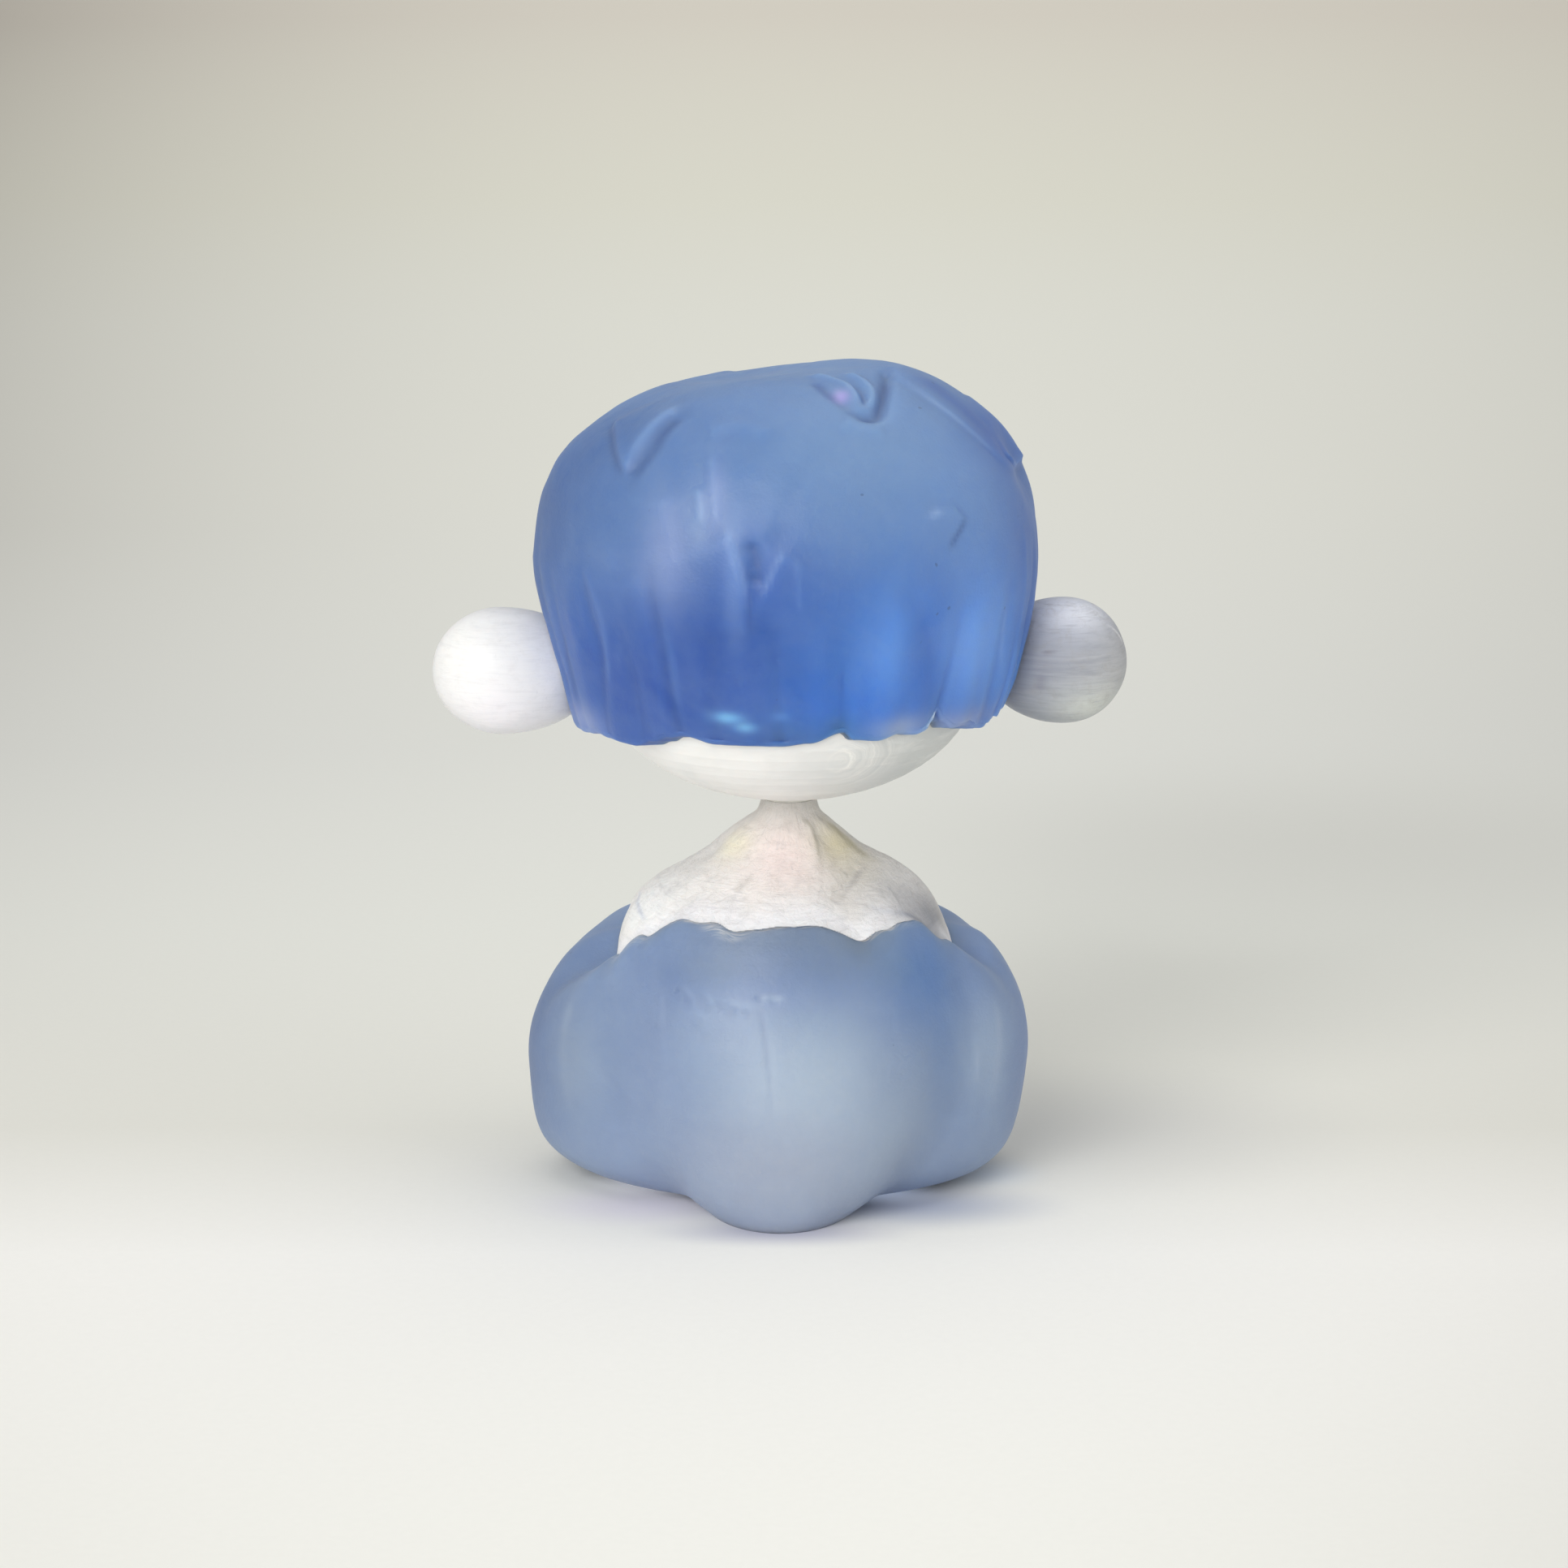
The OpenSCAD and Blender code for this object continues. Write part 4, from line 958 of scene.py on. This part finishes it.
def make_bust():
    a = circle()
    outline = spread(BUST_OUTLINE[BUST_OUTLINE[:, 1] > 24], 160)
    lower = spread(BUST_OUTLINE[BUST_OUTLINE[:, 1] <= 24], 16)
    p = np.array([polar(r, a, z) for r, z in outline])
    n = grid_normals(p)
    z = p[..., 2]
    turn = np.arctan2(p[..., 1], p[..., 0])
    drawn = np.stack([turn * 14, z * 0.32, 0 * turn], -1)
    crossed = np.stack([turn * 9 + z * 0.9, z * 0.5 - turn * 5, 0 * turn], -1)
    move = worked(p, n, BUST_WAVES, BUST_RIDGES, BUST_DENTS) + 0.02 * noise(drawn, 0.8, 34)
    move = move + 0.03 * noise(crossed, 0.8, 35) * smoothstep((43 - z) / 5)
    edge = collar_edge(a)
    above = z - edge
    # the paint fills the ledge behind the collar's lip, so that it runs flush into the blue
    lip = body_radius(a, edge, edge) - bust_radius(edge)
    thick = lip * smoothstep(above / 0.35 + 1) * np.exp(-np.maximum(above, 0) / (0.7 + 0.8 * lip))
    calm = smoothstep((NECK_TOP - z) / 1.2) * smoothstep(above / 1.0)
    p = p + n * (move * calm)[..., None] + polar(1, a, 0) * thick[..., None]
    inside = [polar(r, a, z) for r, z in list(lower) + [
        (CORE_R, CORE_LOW), (SPINDLE_R, CORE_LOW), (SPINDLE_R, CORE_LOW + 0.2),
        (SPINDLE_R, NECK_TOP - 0.2), (SPINDLE_R, NECK_TOP), (NECK_R - 0.1, NECK_TOP)]]
    bust, verts = make_piece("bust_paint", lean(np.array(list(p) + inside)))

    ang = np.arctan2(verts[:, 1], verts[:, 0])
    deg = np.degrees(ang) % 360
    over = verts[:, 2] - around(COLLAR_LINE, deg)
    white_edge = 0.75 * (1 - 0.8 * bell(deg - 328, 16)) * bell(over - 0.6, 1.5)
    tone_and_light = paint(verts, (232, 229, 226), BUST_TINTS_AND_LIGHT, BUST_TINT_AND_SHADE_LINES)
    down = smoothstep((43 - verts[:, 2]) / 5)
    across = 14 - 9 * down
    marks = np.ones((len(verts), 3))
    marks[:, 0] = 0.45 + dent(verts, (14, -9, 35.5), 0.55, 7)
    dress(bust, blend(tone_and_light, white_edge, (244, 244, 250)),
          (np.cos(ang) * across, np.sin(ang) * across, verts[:, 2] * (0.5 + 1.9 * down)), marks)
    return bust


# ---- Ears ----


def make_ear(name, side, base, spots, lines, seed):
    """An egg-shaped ear about its own level axis, with the bore for its pin."""
    ear = EARS[side]

    def ring(r, out, a):
        return np.stack([side * out + 0 * a, EAR_Y + r * np.cos(a), ear["z"] + r * np.sin(a)], 1)

    a = circle(EAR_COLUMNS)[::side]
    seat = math.acos((ear["mid"] - EAR_SEAT) / ear["in"])
    profile = [(EAR_R * math.sin(t), ear["mid"] - ear["in"] * math.cos(t))
               for t in np.linspace(seat, math.pi / 2, 40)]
    profile += [(EAR_R * math.cos(t), ear["mid"] + ear["out"] * math.sin(t))
                for t in np.linspace(0, math.pi / 2, 48)[1:-1]]
    rows = np.array([ring(max(r, 0.05), out, a) for r, out in profile[::-1]])
    n = grid_normals(rows)
    move = worked(rows, n, [(0.09, 5.5, seed), (0.03, 2.2, seed + 1)])
    calm = smoothstep((np.abs(rows[..., 0]) - EAR_SEAT) / 2)
    rows = rows + n * (np.minimum(move, 0.1) * calm)[..., None]
    bore = [ring(EAR_PIN_R + 0.1, EAR_SEAT, a), ring(EAR_PIN_R, EAR_SEAT + 0.1, a),
            ring(EAR_PIN_R, EAR_PIN_END, a)]
    poles = [rows[0].mean(axis=0), (side * EAR_PIN_END, EAR_Y, ear["z"])]
    piece, verts = make_piece(name, np.concatenate([rows, bore]), poles)
    dress(piece, paint(verts, base, spots, lines),
          (verts[:, 0] * 0.2, verts[:, 1] * 0.5, verts[:, 2] * 3.2),
          np.full((len(verts), 3), 0.5))
    return piece


# ---- The pieces ----


def fit(piece, body, node, finish):
    """Puts a piece on the body it moves with, in the place of a CAD node."""
    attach(piece, body)
    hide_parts(node)
    piece.data.materials.append(finish)


hair = make_hair()
fit(hair, "head", "hair_cap", frosted("frosted_hair", 0.005, 0.10))
body = make_body()
fit(body, "torso", "body_shell", frosted("frosted_body", 0.005, 0.12))
bust = make_bust()
fit(bust, "torso", "bust",
    painted("chalk_paint", 0.55, 1.0, 0.7, 0.2, 0.00018, 1.0))

left = make_ear("ear_white", -1, (229, 229, 232), [
    # painted light on the ear's outer side, which faces the key
    ((-40, -2, 66), (7, 8, 8), (238, 238, 237), 0.8),
    ((-34, -4, 57.5), (6, 8, 4), (250, 246, 252), 0.8),
    ((-29, -4, 60), (4, 6, 4.5), (228, 228, 232), 0.7),
    ((-27, -3, 66), (2.5, 6, 4), (240, 240, 246), 0.6)],
    # a line of painted shade low on its inner side, by the hair
    [([(-30, -3.9, 59), (-28, -3.4, 58.4), (-26.4, -2.6, 58.8)], 0.8, (188, 190, 198), 0.5)], 41)
fit(left, "left_ear", "ear_left",
    painted("ear_white", 0.30, 0.8, 0.25, 0.10, 0.00006, 0.15))

right = make_ear("ear_pearl", 1, (148, 153, 166), [
    # painted shade on the ear's inner side, in the hair's shadow
    ((30.5, -4, 63), (3.5, 6, 5), (140, 144, 158), 0.8),
    ((37, -3, 58.6), (6, 8, 4), (220, 224, 216), 0.85),
    ((34.5, -4, 63.5), (3, 5, 3), (158, 160, 168), 0.5),
    ((34, -1, 70.5), (8, 8, 2.8), (226, 229, 240), 0.9),
    ((39.5, -2, 64), (2.5, 6, 6), (182, 182, 184), 0.6)],
    [([(29.8, -3.6, 65.7), (31.9, -3.6, 65.7)], 0.16, (84, 84, 98), 0.9),
     ([(28.2, -3.2, 60.6), (29.6, -3.4, 60.4)], 0.3, (96, 94, 104), 0.7),
     # a line of painted shade down its inner edge, by the hair
     ([(30, -3.6, 63), (29.6, -3.6, 60.8)], 0.7, (118, 120, 134), 0.5),
     # a painted highlight: the glossy line along its upper right edge
     ([(37.6, -0.2, 68.9), (39, 1.2, 67.5), (39.9, 2, 65.6)], 0.22, (246, 246, 250), 0.65)], 51)
fit(right, "right_ear", "ear_right",
    painted("ear_pearl", 0.38, 1.3, 0.5, 0.35, 0.00008, 0.15))


def head_paint():
    """White paint on the chin, laid on in long, level strokes, with a swirl on the right, and
    darker towards its right as painted shade.
    """
    n = Nodes("head_paint")
    strokes = n.grain(n.place((180, 180, 900)), 1.0, 4, 0.6, 0.5)
    here = n.place()
    cloud = n.grain(here, 90, 3, 0.55, 0.8)
    side = n.add("SeparateXYZ", Vector=here).outputs["X"]
    # painted shade: lighter on the left of the chin, much darker on its right
    colour = n.mix(n.ramp(side, -0.012, 0.0), (0.91, 0.90, 0.88), (0.85, 0.84, 0.83))
    colour = n.mix(n.ramp(side, 0.0, 0.014), colour, (0.60, 0.62, 0.615))
    colour = n.mix(n.ramp(cloud, 0.4, 0.65, 0, 0.35), colour, (0.66, 0.67, 0.66))
    colour = n.mix(n.ramp(strokes, 0.5, 0.75, 0, 0.35), colour, (0.95, 0.94, 0.92))
    out = n.length(n.place(shift=(-0.0065, 0.021, -0.0545)))
    wander = n.math("MULTIPLY", n.grain(here, 260, 3, 0.6), 2.6)
    turn = n.math("ADD", n.math("MULTIPLY", out, 1500.0), wander)
    arcs = n.grain(n.add("CombineXYZ", X=turn).outputs["Vector"], 1.0, 3, 0.7)
    near = n.math("MULTIPLY", n.ramp(out, 0.002, 0.010, 1, 0), n.ramp(side, 0.004, 0.007))
    colour = n.mix(n.math("MULTIPLY", near, n.ramp(arcs, 0.4, 0.62)), colour, (0.90, 0.89, 0.86))
    skin = n.bump(strokes, 0.4, 0.00012)
    return n.finish(
        Base_Color=colour, Roughness=n.ramp(strokes, 0.3, 0.7, 0.38, 0.52),
        Normal=n.bump(n.math("MULTIPLY", near, arcs), 0.6, 0.0002, skin), Specular_IOR_Level=0.4,
        Subsurface_Weight=0.25, Subsurface_Radius=(1.0, 0.8, 0.7), Subsurface_Scale=0.0015)


# The CAD nodes that stay in view or inside take their material by their slot
finishes = {
    "steel": metal("turned_steel", (0.62, 0.63, 0.65), 0.25),
    "brass": metal("turned_brass", (0.78, 0.60, 0.30), 0.28),
    "nylon": plain_matte("nylon", (0.84, 0.83, 0.78), (0.78, 0.77, 0.72), 900, 0.45, 0.00003),
    "felt_pad": plain_matte("felt", (0.16, 0.19, 0.26), (0.10, 0.13, 0.19), 2400, 0.9, 0.0003),
    "chalk_paint": head_paint(),
}
slots = {entry["node"]: entry["material_slot"] for entry in frame["record"]["subparts"]}
for name, node in frame["nodes"].items():
    finish = finishes.get(slots[name])
    if finish is not None:
        for place in node.material_slots:
            place.material = finish
        if not node.material_slots:
            node.data.materials.append(finish)


# ---- Floor, light and camera ----

# Painted light on the paper, by distance behind the figure, in metres, along the middle: bright in
# front, a painted soft shadow just behind the figure, then dimmer and warmer as the light falls off
FLOOR_LIGHT_FALLOFF = [
    (-0.12, (0.94, 0.935, 0.89)), (-0.03, (0.97, 0.96, 0.93)), (0.02, (0.81, 0.803, 0.75)),
    (0.12, (0.79, 0.796, 0.754)), (0.25, (0.744, 0.749, 0.718)), (0.56, (0.753, 0.753, 0.703)),
    (0.92, (0.745, 0.745, 0.687)), (1.4, (0.724, 0.716, 0.633)), (3.2, (0.676, 0.64, 0.568)),
]
# Painted shadows and painted light on the paper: the figure's soft shadows, tinted blue and lilac
# under the casting where light comes through it, and a pale blue spot of that light: place, reach,
# colour, strength
FLOOR_SHADOWS_AND_GLOWS = [
    ((-0.001, -0.022), (0.018, 0.0065), (0.5, 0.5, 0.62), 0.85),
    ((0.014, -0.012), (0.022, 0.011), (0.36, 0.41, 0.56), 0.8),
    ((0.024, 0.001), (0.009, 0.009), (0.74, 0.85, 1.0), 0.5),
    ((-0.017, -0.012), (0.018, 0.01), (0.8, 0.74, 0.86), 0.6),
    ((0.1, 0.18), (0.12, 0.08), (0.62, 0.62, 0.59), 0.6),
    ((0.036, 0.02), (0.045, 0.035), (0.56, 0.56, 0.56), 0.6),
]
# The light that comes through the frosted body onto the paper under its edge
UNDER_GLOWS = [
    ((-0.0145, -0.002), (0.011, 0.0075), (1.0, 0.97, 1.0), 0.46),
    ((0.0115, -0.007), (0.008, 0.006), (0.72, 0.82, 1.0), 0.28),
]
FLOOR_HALF = 6.0
# The pool of light fans out from this far in front of the figure, and dims at its sides
FAN_FROM, FAN_LEAST = 0.5, 0.3
DIM_MOST, DIM_TONE = 0.6, (0.10, 0.08, 0.07)


def pools(n, colour, glows):
    """Blends soft-edged ovals of colour into the paper: painted shadows and painted light."""
    for (x, y), (rx, ry), tone, strength in glows:
        far = n.length(n.place((1 / rx, 1 / ry, 0), (-x / rx, -y / ry, 0)))
        fade = n.ramp(far, 0.0, 1.0, strength, 0)
        fade.node.interpolation_type = "SMOOTHSTEP"
        colour = n.mix(fade, colour, tone)
    return colour


def make_floor():
    """A sheet of pale paper that runs far behind the figure, its colour painted with a pool of
    light that fans out and with shadows, and glowing faintly under the body's edge.
    """
    mesh = bpy.data.meshes.new("floor")
    corners = [(x * FLOOR_HALF, y * FLOOR_HALF, 0) for x, y in ((-1, -1), (1, -1), (1, 1), (-1, 1))]
    mesh.from_pydata(corners, [], [(0, 1, 2, 3)])
    floor = bpy.data.objects.new("floor", mesh)
    bpy.context.scene.collection.objects.link(floor)
    n = Nodes("studio_paper")
    here = n.add("SeparateXYZ", Vector=n.place()).outputs
    x, y = here["X"], here["Y"]
    colour = FLOOR_LIGHT_FALLOFF[0][1]
    for (y0, _), (y1, tone) in zip(FLOOR_LIGHT_FALLOFF[:-1], FLOOR_LIGHT_FALLOFF[1:]):
        colour = n.mix(n.ramp(y, y0, y1), colour, tone)
    fan = n.math("DIVIDE", x, n.math("MAXIMUM", n.math("ADD", y, FAN_FROM), FAN_LEAST))
    left = n.math("MINIMUM", fan, 0.0)
    right = n.math("MAXIMUM", fan, 0.0)
    left_fade = n.math("ADD", n.ramp(y, 0.03, 0.5, 0.04, 0.24), n.ramp(y, 0.5, 3.0, 0, 0.14))
    left = n.math("MULTIPLY", n.math("MULTIPLY", left, n.math("MULTIPLY", left, 36.0)), left_fade)
    right_fade = n.ramp(y, 0.08, 0.3, 3.0, 4.2)
    right = n.math("MULTIPLY", right, n.math("MULTIPLY", right, right_fade))
    dim = n.math("MINIMUM", n.math("ADD", left, right), DIM_MOST)
    dim = n.math("MULTIPLY", dim, n.ramp(y, -0.4, -0.16))
    dim = n.math("MULTIPLY", dim, n.ramp(n.math("ABSOLUTE", fan), 0.22, 0.45, 1, 0))
    colour = pools(n, n.mix(dim, colour, DIM_TONE), FLOOR_SHADOWS_AND_GLOWS)
    grain = n.grain(n.place(), 900, 3, 0.6)
    colour = n.mix(n.ramp(grain, 0.3, 0.7, 0, 0.03), colour, (0.5, 0.5, 0.5))
    # the paper glows under the body's edge: painted light that stands in for light through the
    # frosted body
    mesh.materials.append(n.finish(
        Base_Color=colour, Roughness=0.9, Specular_IOR_Level=0.1,
        Emission_Color=pools(n, (0, 0, 0), UNDER_GLOWS), Emission_Strength=1.0))


def soft_light(name, direction, power, angle, colour):
    """Light from far off, as through a large softbox: direction points to where it comes from."""
    lamp = bpy.data.lights.new(name, "SUN")
    lamp.energy = power
    lamp.angle = math.radians(angle)
    lamp.color = colour
    ob = bpy.data.objects.new(name, lamp)
    ob.rotation_euler = (-Vector(direction)).to_track_quat("-Z", "Y").to_euler()
    bpy.context.scene.collection.objects.link(ob)


make_floor()
soft_light("key", (-0.42, -0.8, 0.42), 1.9, 40, (1.0, 0.99, 0.97))
soft_light("side", (0.9, -0.3, 0.45), 0.35, 60, (1.0, 0.99, 0.98))
soft_light("top", (0.1, 0.3, 1.0), 0.5, 60, (0.98, 0.99, 1.0))

world = bpy.data.worlds.new("studio")
bpy.context.scene.world = world
world.use_nodes = True
world.node_tree.nodes["Background"].inputs["Color"].default_value = (0.93, 0.93, 0.90, 1)
world.node_tree.nodes["Background"].inputs["Strength"].default_value = 0.55

# The view is level with the figure from a little above, through a long lens
DISTANCE, TILT, AIM_X, AIM_Z = 0.522, math.radians(12.5), -0.00058, 0.049
camera = bpy.data.objects.new("camera", bpy.data.cameras.new("camera"))
camera.data.lens = 100
camera.data.sensor_width = 36
camera.location = (AIM_X, -DISTANCE * math.cos(TILT), AIM_Z + DISTANCE * math.sin(TILT))
camera.rotation_euler = (math.pi / 2 - TILT, 0, 0)
camera.data.clip_end = 20
bpy.context.scene.collection.objects.link(camera)
bpy.context.scene.camera = camera
bpy.context.scene.view_settings.view_transform = "Standard"
